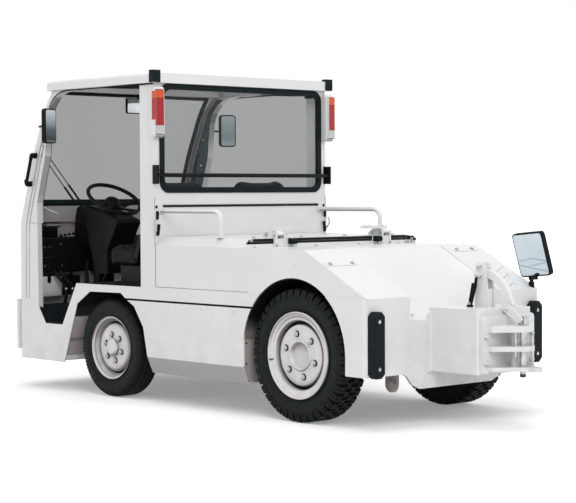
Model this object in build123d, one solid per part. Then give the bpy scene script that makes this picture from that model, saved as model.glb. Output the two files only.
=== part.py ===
"""Airport baggage tug: a low tractor with an open two-seat cab, a lidded deck and a three-level tow hitch.

Millimetres. +X points forward, +Y to the driver's left, +Z up.
The origin is on the ground, below the middle of the overall length and width.
"""
from build123d import *
import math
import os

# Wheels and axles
WHEELBASE = 1734.0
REAR_AXLE_X = -796.0
FRONT_AXLE_X = REAR_AXLE_X + WHEELBASE
REAR_TYRE_R = 375.0
REAR_TYRE_W = 190.0
REAR_TYRE_OUT_Y = 682.0
REAR_SEAT_R = 232.0
REAR_LUGS = 20
REAR_LUG_H = 18.0
FRONT_TYRE_R = 311.0
FRONT_TYRE_W = 165.0
FRONT_TYRE_OUT_Y = 676.0
FRONT_SEAT_R = 186.0
RIM_WALL = 8.0
KINGPIN_Y = 460.0
KINGPIN_R = 16.0
SPINDLE_R = 22.0
AXLE_END_R = 36.0
RUN_FIT = 0.05
STEER_ARM = 140.0

REAR_HUB = (AXLE_END_R, 80.0, 58.0, 22.0)  # bore, outer radius, reach, cap depth
FRONT_HUB = (SPINDLE_R, 54.0, 72.0, -8.0)

# Body
BODY_Y = 715.0
SHEET = 6.0
PLATE = 14.0
PANEL_RECESS = 4.0
POST_DEPTH = 35.0
NOSE_X = 1924.0
BUMPER_OUT = 45.0
HITCH_TIP_X = -(NOSE_X + BUMPER_OUT)
CORNER_R = 70.0
CAB_BACK_X = 429.0
WALL_T = 18.0
WALL_FRONT_X = CAB_BACK_X + WALL_T
B_POST_FRONT_X = 569.0
NOSE_SEAM_X = 1700.0
TAIL_X = -1372.0
DECK_REAR_X = -376.0
SLOPE_TOP_X = -891.0
SILL_Z = 190.0
TUCK_Z = 284.0
TUCK_IN = 40.0
SLOT_Z = 628.0
SLOT_H = 12.0
RIDGE_Z = 713.0
SIDE_TOP_Z = 966.0
DECK_Z = 1018.0
TAIL_TOP_Z = 715.0
TAIL_BOTTOM_Z = 294.0
TAIL_BELLY_Z = 206.0
BELT_Z = 1090.0
EAVES_Z = 1950.0
ROOF_Z = 2010.0
ROOF_Y = 742.0
ROOF_FRONT_X = FRONT_AXLE_X + 630
ROOF_CORNER_R = 80.0
STEP_Z = 434.0
PLATFORM_Z = 709.0

LAMP_X = CAB_BACK_X - 49
LAMP_SPLIT = (1638.0, 1692.0, 1854.0, 1905.0)  # foot, clear to red, red to amber, top
LAMP_MARGIN = 20.0

# Rear window
WINDOW_Y = BODY_Y - 60
WINDOW_SILL_Z = 1304.0
WINDOW_HEAD = 20.0
GASKET_W = 10.0
SCREEN_Y = BODY_Y - 85
SCREEN_SILL_Z = BELT_Z + 110

# Deck lid
LID_Y = 640.0
LID_T = 18.0
LID_GAP = 8.0
BAND_T = 14.0
BAND_TOP_Z = DECK_Z - LID_T - 14.0
HINGE_Y = 440.0
HINGE_ARM = 22.0
STOP_R = 17.0
STOP_W = 50.0
HINGE_R = 9.0
HINGE_Z = DECK_Z + 22.0
HINGE_X = DECK_REAR_X - 16.0

# Push pads on the rear plate: y from, y to, z from, z to
PUSH_PAD = (610.0, 702.0, 289.0, 646.0)
PUSH_PAD_T = 50.0
PAD_BOLT_R = 14.0

# Left mirror on the windscreen pillar: x, y, z of its middle
PILLAR_MIRROR = (1458.0, 755.0, 1720.0)
MIRROR_TURN = 18.0

# Mirror over the right rear corner: x, y, z of its middle
CORNER_MIRROR = (-1345.0, -682.0, 913.0)

# Cab fittings
SEAT_Y = 350.0
SEAT_W = 480.0
WHEEL_RIM_R = 192.0
WHEEL_HUB = (1321.0, 350.0, 1245.0)
SHAFT_R = 14.0
DASH_X = 1760.0
WHEEL_TILT = 32.0

# Hitch
BOX_Y = 220.0
BOX_BACK_X = -1730.0
BOX_Z = (300.0, 650.0)
MOUNT_T = 22.0
HITCH_PIN_X = BOX_BACK_X - 120.0
HITCH_PIN_R = 17.0
MOUNT_Y = 213.0
MOUNT_Z = (310.0, 618.0)
HITCH_LEVELS = [  # bottom z, top z, half width, reach past the pin of each hitch plate
    (320.0, 342.0, 172.0, 60.0),
    (427.0, 454.0, 172.0, 56.0),
    (529.0, 564.0, 172.0, 44.0),
]
LEVER_PIVOT = (BOX_BACK_X + 164.0, 831.0)
LEVER_T = 28.0
LINK_TOP = (BOX_BACK_X - 32.0, 652.0)
LINK_FOOT_Z = 596.0
LINK_Y = (22.0, 32.0)
LINK_R = (26.0, 18.0)
SIDE_GAP = 5.0

# Wheel arch outlines: x from the axle, z
FRONT_ARCH = [
    (467.0, 190.0), (298.0, 578.0), (160.0, 661.0), (-164.0, 664.0), (-207.0, 634.0),
    (-298.0, 587.0), (-388.0, 463.0), (-428.0, 284.0), (-440.0, 190.0),
]
REAR_ARCH_R = 418.0
REAR_ARCH_Z = 390.0

# Trough folds: fold, (y, z) at the head of the slope, (y, z) at the rear plate
TROUGH = [
    ("rim", (403.0, 968.0), (375.0, 713.0)),
    ("side", (222.0, 964.0), (375.0, 590.0)),
    ("floor", (200.0, 964.0), (100.0, 560.0)),
]

# Door opening: x, z
DOOR = [
    (1592.0, STEP_Z), (1401.0, STEP_Z), (1242.0, PLATFORM_Z), (B_POST_FRONT_X, PLATFORM_Z),
    (B_POST_FRONT_X, EAVES_Z), (1240.0, EAVES_Z), (1372.0, 1937.0), (1462.0, 1902.0),
    (1519.0, 1846.0), (1554.0, 1776.0), (1580.0, 1530.0), (1664.0, 1270.0), (1676.0, 1222.0),
    (1668.0, 536.0),
]

os.makedirs("parts", exist_ok=True)


def slab(x, y, z):
    """A box between two values on each axis."""
    size = (abs(x[1] - x[0]), abs(y[1] - y[0]), abs(z[1] - z[0]))
    middle = ((x[0] + x[1]) / 2, (y[0] + y[1]) / 2, (z[0] + z[1]) / 2)
    return Pos(*middle) * Box(*size)


def side_prism(points, y0, y1):
    """An outline of x, z points, run from y0 to y1."""
    face = make_face(Polyline(*[(x, y0, z) for x, z in points], close=True))
    return extrude(face, amount=abs(y1 - y0), dir=(0, 1 if y1 > y0 else -1, 0))


def plan_prism(points, z0, z1):
    """An outline of x, y points, run from z0 to z1."""
    face = make_face(Polyline(*[(x, y, z0) for x, y in points], close=True))
    return extrude(face, amount=z1 - z0, dir=(0, 0, 1))


def end_prism(points, x0, x1):
    """An outline of y, z points, run from x0 to x1."""
    face = make_face(Polyline(*[(x0, y, z) for y, z in points], close=True))
    return extrude(face, amount=x1 - x0, dir=(1, 0, 0))


def rod_x(x, y, z, radius):
    """A round bar along X between two x values."""
    return Pos((x[0] + x[1]) / 2, y, z) * Rot(0, 90, 0) * Cylinder(radius, abs(x[1] - x[0]))


def rod_y(x, y, z, radius):
    """A round bar along Y between two y values."""
    return Pos(x, (y[0] + y[1]) / 2, z) * Rot(90, 0, 0) * Cylinder(radius, abs(y[1] - y[0]))


def rod_z(x, y, z, radius):
    """A round bar along Z between two z values."""
    return Pos(x, y, (z[0] + z[1]) / 2) * Cylinder(radius, abs(z[1] - z[0]))


def turned(profile, x, y, z, sign):
    """A half section of radius, offset points turned about the wheel axis; offset runs outward."""
    points = [(r, 0, h) for r, h in profile]
    solid = revolve(make_face(Polyline(*points, close=True)), axis=Axis.Z)
    return Pos(x, y, z) * Rot(-90 * sign, 0, 0) * solid


def other_side(shape):
    """The same piece on the right-hand side."""
    return mirror(shape, about=Plane.XZ)


def write(name, *shapes):
    """One file for a node, holding its separate solids."""
    solids = []
    for shape in shapes:
        solids.extend(shape.solids())
    whole = solids[0] if len(solids) == 1 else Compound(children=solids)
    export_step(whole, f"parts/{name}.step")


# Cab shell -----------------------------------------------------------------------------------

def cab_envelope(inset):
    """The cab's outer form, drawn in by inset."""
    foot = SILL_Z - 5 - inset
    back_x = CAB_BACK_X - 40 - inset
    line = [
        (NOSE_X - inset, foot), (NOSE_X - inset, 1070.0), (1768.0 - inset, 1536.0), (1625.0 - inset, 1850.0),
        (1500.0 - inset, ROOF_Z - inset), (back_x, ROOF_Z - inset), (back_x, foot),
    ]
    low_y = -(BODY_Y - inset)
    points = [(x, low_y, z) for x, z in line]
    path = FilletPolyline(*points, radius=[300, 1500, 200, 60, 1.0])
    face = make_face(path + Line(points[-1], points[0]))
    body = extrude(face, amount=2 * (BODY_Y - inset), dir=(0, 1, 0))
    rounded = [
        edge for edge in body.edges()
        if abs(abs(edge.center().Y) - (BODY_Y - inset)) < 1
        and edge.center().X > CAB_BACK_X and edge.center().Z > foot + 1
    ]
    return fillet(rounded, CORNER_R - inset)


def front_arch_prism(y0, y1, grow=0.0):
    """The front wheel arch's opening, closed below."""
    points = [(FRONT_AXLE_X + x + (grow if x > 0 else -grow), z + grow) for x, z in FRONT_ARCH]
    points[0] = (points[0][0] + 50, 0.0)
    points[-1] = (points[-1][0], 0.0)
    return side_prism(points, y0, y1)


def rear_arch_prism(y0, y1, grow=0.0):
    """The rear wheel arch's opening, closed below."""
    r = REAR_ARCH_R + grow
    x0, x1 = REAR_AXLE_X - r, REAR_AXLE_X + r
    start, top, end = (x0, y0, REAR_ARCH_Z), (REAR_AXLE_X, y0, REAR_ARCH_Z + r), (x1, y0, REAR_ARCH_Z)
    outline = ThreePointArc(start, top, end) + Polyline(end, (x1, y0, 0), (x0, y0, 0), start)
    return extrude(make_face(outline), amount=y1 - y0, dir=(0, 1, 0))


def front_cowl(shell):
    """The nose panel, wrapped round both front corners."""
    region = slab((NOSE_SEAM_X, NOSE_X + 10), (-BODY_Y - 10, BODY_Y + 10), (SILL_Z, BELT_Z))
    cowl = shell & region
    closing = slab((1380.0, 1388.0), (260.0, BODY_Y - SHEET), (SILL_Z + 12, STEP_Z - SHEET))
    return cowl, closing, other_side(closing)


def front_bumper():
    """The pressed strip across the nose with a chamfered lower edge."""
    outer = cab_envelope(0)
    proud = [
        (NOSE_X + BUMPER_OUT, 290.0), (NOSE_X + BUMPER_OUT, 560.0), (NOSE_X + BUMPER_OUT - 20, 580.0),
        (NOSE_X - 120, 580.0), (NOSE_X - 120, 250.0), (NOSE_X + BUMPER_OUT - 40, 250.0),
    ]
    strip = side_prism(proud, -BODY_Y - 6, BODY_Y + 6)
    upright = [e for e in strip.edges().filter_by(Axis.Z) if e.center().X > NOSE_X]
    strip = fillet(upright, CORNER_R)
    hollow = slab((NOSE_X - 200, NOSE_X - 30), (-BODY_Y - 10, BODY_Y + 10), (200, 600))
    return strip - outer - hollow


def cab_side():
    """The left cab side: sill, arch surround, A-post foot and B-post."""
    outline = [
        (CAB_BACK_X, SLOT_Z + SLOT_H / 2), (NOSE_SEAM_X, SLOT_Z + SLOT_H / 2),
        (NOSE_SEAM_X, EAVES_Z), (CAB_BACK_X, EAVES_Z),
    ]
    upper = side_prism(outline, BODY_Y - SHEET, BODY_Y)
    lower = side_prism(
        [(FRONT_AXLE_X, SILL_Z), (NOSE_SEAM_X, SILL_Z), (NOSE_SEAM_X, 800), (FRONT_AXLE_X, 800)],
        BODY_Y - SHEET, BODY_Y)
    b_post = slab((CAB_BACK_X, B_POST_FRONT_X), (BODY_Y - POST_DEPTH, BODY_Y), (PLATFORM_Z, EAVES_Z))
    a_post = slab((1668.0, NOSE_SEAM_X), (BODY_Y - POST_DEPTH, BODY_Y), (STEP_Z, BELT_Z))
    side = upper + lower + b_post + a_post
    side -= front_arch_prism(BODY_Y - 100, BODY_Y + 10)
    above = [(B_POST_FRONT_X, 2100.0), (1900.0, 2100.0), (1900.0, BELT_Z), (1676.0, BELT_Z)]
    cut = DOOR[:4] + above + DOOR[-1:]
    return side - side_prism(cut, BODY_Y - 100, BODY_Y + 10)


def cab_floor():
    """Step well, sloping riser and seat platform, one folded sheet."""
    half = BODY_Y - SHEET
    x0 = WALL_FRONT_X
    outline = [
        (NOSE_X - 45, STEP_Z), (1401.0, STEP_Z), (1242.0, PLATFORM_Z), (x0, PLATFORM_Z),
        (x0, PLATFORM_Z - SHEET), (1238.0, PLATFORM_Z - SHEET), (1397.0, STEP_Z - SHEET),
        (NOSE_X - 45, STEP_Z - SHEET),
    ]
    return side_prism(outline, -half, half) & cab_envelope(SHEET)


def windscreen_frame(shell):
    """A-pillars and the band below the windscreen."""
    frame = shell & slab((CAB_BACK_X + 200, NOSE_X + 10), (-BODY_Y - 5, BODY_Y + 5), (BELT_Z, EAVES_Z))
    frame -= side_prism(DOOR, -BODY_Y - 20, BODY_Y + 20)
    glass_hole = slab((1300, 2100), (-SCREEN_Y, SCREEN_Y), (SCREEN_SILL_Z, EAVES_Z + 5))
    frame -= glass_hole
    return frame


def windscreen_glass():
    """The bowed windscreen pane."""
    pane = cab_envelope(14) - cab_envelope(20)
    region = slab((1500, 2000), (-SCREEN_Y, SCREEN_Y), (SCREEN_SILL_Z, EAVES_Z))
    return pane & region


def rear_wall():
    """Bulkhead and rear window surround, with a pressed seam below the window."""
    half = BODY_Y - POST_DEPTH
    wall = slab((CAB_BACK_X, WALL_FRONT_X), (-half, half), (PLATFORM_Z - SHEET, EAVES_Z))
    head = EAVES_Z - WINDOW_HEAD
    hole = slab((CAB_BACK_X - 50, CAB_BACK_X + 50), (-WINDOW_Y, WINDOW_Y), (WINDOW_SILL_Z, head))
    hole = fillet(hole.edges().filter_by(Axis.X), 50)
    seam_z = (WINDOW_SILL_Z - 105, WINDOW_SILL_Z - 97)
    seam = slab((CAB_BACK_X, CAB_BACK_X + 4), (-half + 40, half - 40), seam_z)
    return wall - hole - seam


def window_frame(x, y, z, corner, wide, thick):
    """A rounded rectangular rubber frame lying in a YZ plane."""
    outer = fillet(slab((x - thick / 2, x + thick / 2), y, z).edges().filter_by(Axis.X), corner)
    inner = slab((x - thick, x + thick), (y[0] + wide, y[1] - wide), (z[0] + wide, z[1] - wide))
    return outer - fillet(inner.edges().filter_by(Axis.X), corner - wide / 2)


def rear_glass():
    """The rear window pane, set inside its gasket."""
    edge_y, low, high = WINDOW_Y - GASKET_W, WINDOW_SILL_Z + GASKET_W, EAVES_Z - WINDOW_HEAD - GASKET_W
    middle = CAB_BACK_X + WALL_T / 2
    pane = slab((middle - 3, middle + 3), (-edge_y, edge_y), (low, high))
    return fillet(pane.edges().filter_by(Axis.X), 50 - GASKET_W / 2)


def window_gasket():
    """The rear window's rubber: a web in the hole and a lip over its rear edge."""
    low, high = WINDOW_SILL_Z, EAVES_Z - WINDOW_HEAD
    lip = window_frame(CAB_BACK_X - 4, (-WINDOW_Y - 20, WINDOW_Y + 20), (low - 20, high + 18), 70, 35, 8)
    web = window_frame(CAB_BACK_X + WALL_T / 2, (-WINDOW_Y, WINDOW_Y), (low, high), 50, GASKET_W, WALL_T)
    return lip + web


def roof():
    """The roof pan with its deep fascia and rounded front."""
    back, front = CAB_BACK_X - 30, ROOF_FRONT_X
    outline = [
        (back, EAVES_Z), (front, EAVES_Z), (front - 25, EAVES_Z + 30), (front - 95, ROOF_Z), (back, ROOF_Z),
    ]
    pan = side_prism(outline, -ROOF_Y, ROOF_Y)
    pan = fillet([e for e in pan.edges().filter_by(Axis.X) if e.center().Z > ROOF_Z - 1], 18)
    plan = slab((back, front), (-ROOF_Y, ROOF_Y), (EAVES_Z, ROOF_Z))
    pan &= fillet([e for e in plan.edges().filter_by(Axis.Z) if e.center().X > front - 1], ROOF_CORNER_R)
    hollow = slab((CAB_BACK_X + 20, front - 136), (-ROOF_Y + 60, ROOF_Y - 60), (EAVES_Z - 1, ROOF_Z - 14))
    return pan - hollow


def roof_cap(pan):
    """The left rubber cap over the roof's rear corner."""
    back = CAB_BACK_X - 30
    return slab((back - 8, back + 32), (ROOF_Y - 50, ROOF_Y + 8), (EAVES_Z + 2, ROOF_Z + 16)) - pan


# Lower body ----------------------------------------------------------------------------------

def skirt():
    """The removable left skirt between the wheels, tucked in at its foot."""
    section = [
        (BODY_Y - SHEET, SLOT_Z - SLOT_H / 2), (BODY_Y, SLOT_Z - SLOT_H / 2), (BODY_Y, TUCK_Z),
        (BODY_Y - TUCK_IN, SILL_Z - 5), (BODY_Y - TUCK_IN - SHEET, SILL_Z - 5), (BODY_Y - SHEET, TUCK_Z + 2),
    ]
    panel = end_prism(section, REAR_AXLE_X, FRONT_AXLE_X)
    panel -= front_arch_prism(BODY_Y - 100, BODY_Y + 10)
    return panel - rear_arch_prism(BODY_Y - 100, BODY_Y + 10)


def side_panel():
    """The left body side from the cab to the tail, with the ridge above the slot and the deck's chamfer."""
    outer = BODY_Y - PANEL_RECESS
    outline = [
        (CAB_BACK_X, SLOT_Z + SLOT_H / 2), (CAB_BACK_X, SIDE_TOP_Z), (SLOPE_TOP_X, SIDE_TOP_Z),
        (TAIL_X, TAIL_TOP_Z), (REAR_AXLE_X - 250, TAIL_TOP_Z), (REAR_AXLE_X - 250, SLOT_Z + SLOT_H / 2),
    ]
    panel = side_prism(outline, outer - SHEET, outer)
    ridge_outline = [
        (CAB_BACK_X, SLOT_Z + SLOT_H / 2), (CAB_BACK_X, RIDGE_Z), (REAR_AXLE_X, RIDGE_Z),
        (REAR_AXLE_X, SLOT_Z + SLOT_H / 2),
    ]
    ridge = side_prism(ridge_outline, outer - SHEET, BODY_Y)
    band = end_prism([
        (outer - SHEET, SIDE_TOP_Z - 4), (outer, SIDE_TOP_Z - 4), (668.0, DECK_Z), (646.0, DECK_Z),
        (646.0, DECK_Z - SHEET), (665.0, DECK_Z - SHEET),
    ], DECK_REAR_X, CAB_BACK_X)
    panel = panel + ridge + band
    return panel - rear_arch_prism(BODY_Y - 100, BODY_Y + 10)


def trough(drop):
    """The ruled cut that folds the sloping centre trough, lowered and widened by drop."""
    top, mouth = SLOPE_TOP_X + 20, TAIL_X - 60
    reach = (mouth - top) / (TAIL_X - top)
    sections = []
    for x, share in ((top, 0.0), (mouth, reach)):
        half = []
        for name, (y0, z0), (y1, z1) in TROUGH:
            half.append((y0 + (y1 - y0) * share + drop, z0 + (z1 - z0) * share - drop))
        rim_y = half[0][0]
        ring = [(rim_y, 1150.0)] + half + [(-y, z) for y, z in reversed(half)] + [(-rim_y, 1150.0)]
        sections.append(make_face(Polyline(*[(x, y, z) for y, z in ring], close=True)))
    return loft(sections, ruled=True)


def tail_form(inset):
    """The tail's outer form, drawn in by inset and open below."""
    slope = (SIDE_TOP_Z - TAIL_TOP_Z) / (SLOPE_TOP_X - TAIL_X)
    top = SIDE_TOP_Z - inset
    back_x = TAIL_X + inset
    floor = 100.0 if inset else TAIL_BELLY_Z
    outline = [
        (DECK_REAR_X, top), (SLOPE_TOP_X, top), (back_x, top - slope * (SLOPE_TOP_X - back_x)),
        (back_x, floor), (DECK_REAR_X, floor),
    ]
    half = BODY_Y - PANEL_RECESS - SHEET
    form = side_prism(outline, -half, half)
    lower = slab((back_x, REAR_AXLE_X), (-BODY_Y + inset, BODY_Y - inset), (floor, TAIL_TOP_Z - inset))
    corners = [e for e in lower.edges().filter_by(Axis.Z) if e.center().X < TAIL_X + 50]
    return form + fillet(corners, 40.0 - inset)


def rear_body():
    """The tail shell: flat top, slopes with a centre trough, sides, rear plate and spring hangers."""
    shell = (tail_form(0) - trough(0)) - (tail_form(PLATE) - trough(PLATE))
    for side in (1, -1):
        shell -= rear_arch_prism(side * 430.0, side * 800.0)
        under = [
            (side * 298.0, TAIL_BELLY_Z), (side * 361.0, 232.0), (side * 401.0, 279.0),
            (side * 430.0, TAIL_BOTTOM_Z), (side * 900.0, TAIL_BOTTOM_Z), (side * 900.0, 100.0),
            (side * 298.0, 100.0),
        ]
        shell -= end_prism(under, TAIL_X - 10, REAR_AXLE_X)
    edge = BODY_Y - PANEL_RECESS - SHEET
    foot_z = SIDE_TOP_Z - 4
    band = [(-edge, foot_z), (edge, foot_z), (edge - 18, BAND_TOP_Z), (18 - edge, BAND_TOP_Z)]
    return shell + end_prism(band, DECK_REAR_X - BAND_T, DECK_REAR_X)


def wheel_liner():
    """The curved liner over the left rear wheel, with its inner wall."""
    hoop = rear_arch_prism(430.0, BODY_Y - PANEL_RECESS - SHEET) - rear_arch_prism(400, 800, -SHEET)
    wall = rear_arch_prism(430.0, 430.0 + SHEET)
    liner = hoop + wall
    liner -= slab((REAR_AXLE_X - 500, REAR_AXLE_X + 500), (300, 800), (-10, REAR_ARCH_Z + 60))
    return liner & tail_form_limits()


def tail_form_limits():
    """Keeps the liner under the slope and the side panels."""
    slope = (SIDE_TOP_Z - TAIL_TOP_Z) / (SLOPE_TOP_X - TAIL_X)
    top = SIDE_TOP_Z - PLATE
    outline = [
        (REAR_AXLE_X + 600, top), (SLOPE_TOP_X, top), (TAIL_X, top - slope * (SLOPE_TOP_X - TAIL_X)),
        (TAIL_X, 0), (REAR_AXLE_X + 600, 0),
    ]
    return side_prism(outline, 300, 800)


def bump_pad():
    """The left rubber pad on the rear plate, its corners cut off, with two sunk bolt holes."""
    low_y, high_y, low_z, high_z = PUSH_PAD
    pad = slab((TAIL_X - PUSH_PAD_T, TAIL_X + 12), (low_y, high_y), (low_z, high_z))
    pad = chamfer(pad.edges().filter_by(Axis.X), 24)
    pad = chamfer([e for e in pad.edges() if e.center().X < TAIL_X - PUSH_PAD_T + 1], 12)
    bolt_x = (TAIL_X - PUSH_PAD_T - 10, TAIL_X - PUSH_PAD_T / 2)
    for z in (low_z + 52, high_z - 52):
        pad -= rod_x(bolt_x, (low_y + high_y) / 2, z, PAD_BOLT_R)
    return pad - tail_form(0)


def deck_lid():
    """The engine lid with turned-down edges, two hinge arms and its catch."""
    lid = slab((DECK_REAR_X, CAB_BACK_X - LID_GAP), (-LID_Y, LID_Y), (DECK_Z - LID_T, DECK_Z))
    under_z = (DECK_Z - LID_T - 1, DECK_Z - 5)
    lid -= slab((DECK_REAR_X + 20, CAB_BACK_X - 60), (-LID_Y + 20, LID_Y - 20), under_z)
    for y in (-HINGE_Y, HINGE_Y):
        lid += hinge_arm(y)
    return lid


def hinge_arm(y):
    """One raised arm on the lid with the hinge barrel, and a flat plate reaching inboard over it."""
    side = 1 if y > 0 else -1
    top = DECK_Z + 44
    outline = [
        (HINGE_X, HINGE_Z + 13), (HINGE_X + 12, top), (DECK_REAR_X + 62, top),
        (DECK_REAR_X + 110, DECK_Z + 20), (DECK_REAR_X + 110, DECK_Z), (DECK_REAR_X + 4, DECK_Z),
        (HINGE_X, HINGE_Z - 13),
    ]
    arm = side_prism(outline, y - HINGE_ARM, y + HINGE_ARM)
    barrel = rod_y(HINGE_X, (y - HINGE_ARM, y + HINGE_ARM), HINGE_Z, 14)
    back, front, inner, outer = HINGE_X + 10, DECK_REAR_X + 61, y - side * 140, y + side * 30
    cover = plan_prism(
        [(back, inner), (front, inner), (front, outer - side * 40), (front - 40, outer), (back, outer)],
        top - 2, top + 16)
    return arm + barrel + cover - rod_y(HINGE_X, (y - 60, y + 60), HINGE_Z, HINGE_R + RUN_FIT)


def lid_hinge(y):
    """The fixed leaf on the deck's rear band, with the hinge pin between two ears."""
    side = 1 if y > 0 else -1
    face = DECK_REAR_X - BAND_T
    inboard = y - side * 112
    leaf = slab((face - 8, face), (inboard, y + side * 45), (SIDE_TOP_Z, DECK_Z - 2))
    outline = [
        (face - 14, SIDE_TOP_Z), (face, SIDE_TOP_Z), (face, BAND_TOP_Z + 4), (DECK_REAR_X - 5, BAND_TOP_Z + 16),
        (DECK_REAR_X - 5, HINGE_Z + 11), (face - 14, HINGE_Z + 11),
    ]
    for way in (1, -1):
        inner = y + way * (HINGE_ARM + SIDE_GAP)
        leaf += side_prism(outline, inner, inner + way * 12)
    return leaf + rod_y(HINGE_X, (y - HINGE_ARM - 10, y + HINGE_ARM + 10), HINGE_Z, HINGE_R)


def lid_stop():
    """The left rubber stop on the hinge's leaf."""
    seat, z = DECK_REAR_X - BAND_T - 8, DECK_Z - 2 - STOP_R
    y = HINGE_Y - 112 + STOP_W / 2
    across = (y - STOP_W / 2, y + STOP_W / 2)
    return slab((seat - STOP_R, seat), across, (z - STOP_R, z + STOP_R)) + rod_y(seat - STOP_R, across, z, STOP_R)


def handrail():
    """The left white rail beside the lid."""
    x0, x1 = CAB_BACK_X, -130.0
    y, z, r, bend = 663.0, DECK_Z + 157, 14, 60
    corner = Pos(x1 + bend, y, z - bend) * Rot(90, 0, 0) * revolve(
        Pos(0, bend, 0) * Rot(0, 90, 0) * Circle(r), axis=Axis.Z, revolution_arc=90)
    return rod_x((x0, x1 + bend), y, z, r) + corner + rod_z(x1, y, (DECK_Z, z - bend), r)


def guard_bar():
    """The black bar across the rear window with its end plates."""
    bar = rod_y(399.0, (-BODY_Y - 4, BODY_Y + 4), 1392.0, 12.5)
    low, high = 1338.0, 1453.0
    for side in (1, -1):
        bar += slab((380.0, CAB_BACK_X + 8), (side * BODY_Y, side * (BODY_Y + 8)), (low, high))
    flange = [
        (-BODY_Y + 15, low), (-BODY_Y - 33, low), (-BODY_Y - 45, low + 20), (-BODY_Y - 45, high - 20),
        (-BODY_Y - 33, high), (-BODY_Y + 15, high),
    ]
    return bar + end_prism(flange, CAB_BACK_X - 8, CAB_BACK_X)


def tail_lamp():
    """The left lamp housing beside the rear window."""
    low, high = LAMP_SPLIT[0] - LAMP_MARGIN, LAMP_SPLIT[-1] + LAMP_MARGIN
    housing = slab((LAMP_X, CAB_BACK_X), (677.0, ROOF_Y), (low, high))
    return fillet([e for e in housing.edges().filter_by(Axis.Y) if e.center().X < LAMP_X + 1], 16)


def lamp_lens():
    """The left lamp's stacked lenses with a thin line between them, and its side window."""
    lenses = [slab((LAMP_X + 2, LAMP_X + 31), (ROOF_Y, ROOF_Y + 3), (LAMP_SPLIT[2] - 128, LAMP_SPLIT[2] + 44))]
    for low, high in zip(LAMP_SPLIT, LAMP_SPLIT[1:]):
        lenses.append(slab((LAMP_X - 18, LAMP_X), (690.0, ROOF_Y), (low + 1, high - 1)))
    return lenses


# Mirrors, grips and wiper --------------------------------------------------------------------

def mirror_head(wide, high):
    """A mirror case and its glass about their own middle, facing the rear."""
    case = slab((0, 26), (-wide / 2, wide / 2), (-high / 2, high / 2))
    case = fillet(case.edges().filter_by(Axis.X), 24)
    glass = slab((-3, 0), (-wide / 2 + 9, wide / 2 - 9), (-high / 2 + 9, high / 2 - 9))
    return case, fillet(glass.edges().filter_by(Axis.X), 17)


def pillar_mirror():
    """The left mirror on its short square arm from the pillar, turned to the driver."""
    x, y, z = PILLAR_MIRROR
    at = Pos(x, y, z) * Rot(0, 0, MIRROR_TURN)
    case, glass = mirror_head(120.0, 225.0)
    arm = slab((x + 14, x + 124), (y - 3, y + 9), (z - 6, z + 6))
    arm += slab((x + 112, x + 124), (BODY_Y - 15, y + 9), (z - 6, z + 6))
    return (at * case) + (arm - cab_envelope(0)), at * glass


def corner_mirror():
    """The wide mirror over the right rear corner, turned to the driver, on its stem."""
    x, y, z = CORNER_MIRROR
    at = Pos(x, y, z) * Rot(-12.6, 6.2, -95)
    case, glass = mirror_head(248.0, 264.0)
    stem_y = y - 4
    stem = rod_z(x, stem_y, (TAIL_TOP_Z + 8, z - 135), 11)
    stem += slab((x - 12, x + 12), (stem_y - 45, stem_y + 12), (z - 147, z - 123))
    foot = rod_z(x, stem_y, (TAIL_TOP_Z - 10, TAIL_TOP_Z + 40), 17)
    return (at * case) + ((stem + foot) - tail_form(0)), at * glass


def pillar_grip():
    """The left black grip standing out from the pillar on two short feet."""
    bar = Pos(1706, 758, 1440) * Rot(0, -19, 0) * Cylinder(11, 200)
    feet = []
    for x, z in ((1734.0, 1356.0), (1676.0, 1524.0)):
        feet.append(slab((x - 9, x + 9), (690, 758), (z - 9, z + 9)))
    return bar + ((feet[0] + feet[1]) - cab_envelope(0))


# Cab fittings --------------------------------------------------------------------------------

def seat_cushion(y):
    """One seat cushion."""
    pad = slab((781.0, 1137.0), (y - SEAT_W / 2, y + SEAT_W / 2), (824.0, 946.0))
    pad = fillet(pad.edges().filter_by(Axis.Z), 60)
    return chamfer([e for e in pad.edges() if e.center().Z > 945], 22)


def seat_back(y):
    """One seat back, leaning to the rear."""
    pad = slab((-50, 50), (y - SEAT_W / 2, y + SEAT_W / 2), (0, 440.0))
    pad = fillet(pad.edges().filter_by(Axis.X), 70)
    pad = chamfer([e for e in pad.edges() if abs(e.center().X) > 49], 18)
    return Pos(762.0, 0, 952.0) * Rot(0, -14, 0) * pad


def seat_base(y):
    """The black pedestal under one seat."""
    return slab((640.0, 990.0), (y - 200, y + 200), (PLATFORM_Z, 824.0))


def on_column(shape):
    """Places a piece modelled about the steering wheel's own centre and axis."""
    return Pos(*WHEEL_HUB) * Rot(0, -WHEEL_TILT, 0) * shape


def steering_column():
    """The tapered cowl below the steering wheel and its foot."""
    x, y = WHEEL_HUB[0], WHEEL_HUB[1]
    outline = [
        (x + 198, 1130.0), (x + 194, 1180.0), (x + 74, 1180.0), (x - 166, 1105.0),
        (x - 44, 910.0), (x - 46, 760.0), (x + 74, 753.0), (x + 133, 910.0),
    ]
    cowl = side_prism(outline, y - 95, y + 95)
    cowl = fillet([e for e in cowl.edges().filter_by(Axis.Y) if e.center().Z > 1000], 22)
    strut = slab((x + 89, x + 154), (y - 60, y + 60), (STEP_Z, 1000.0))
    column = on_column(Pos(0, 0, -120) * Cylinder(32, 170))
    bore = on_column(Pos(0, 0, -100) * Cylinder(SHAFT_R + RUN_FIT, 180))
    return cowl + strut + column - bore


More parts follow.
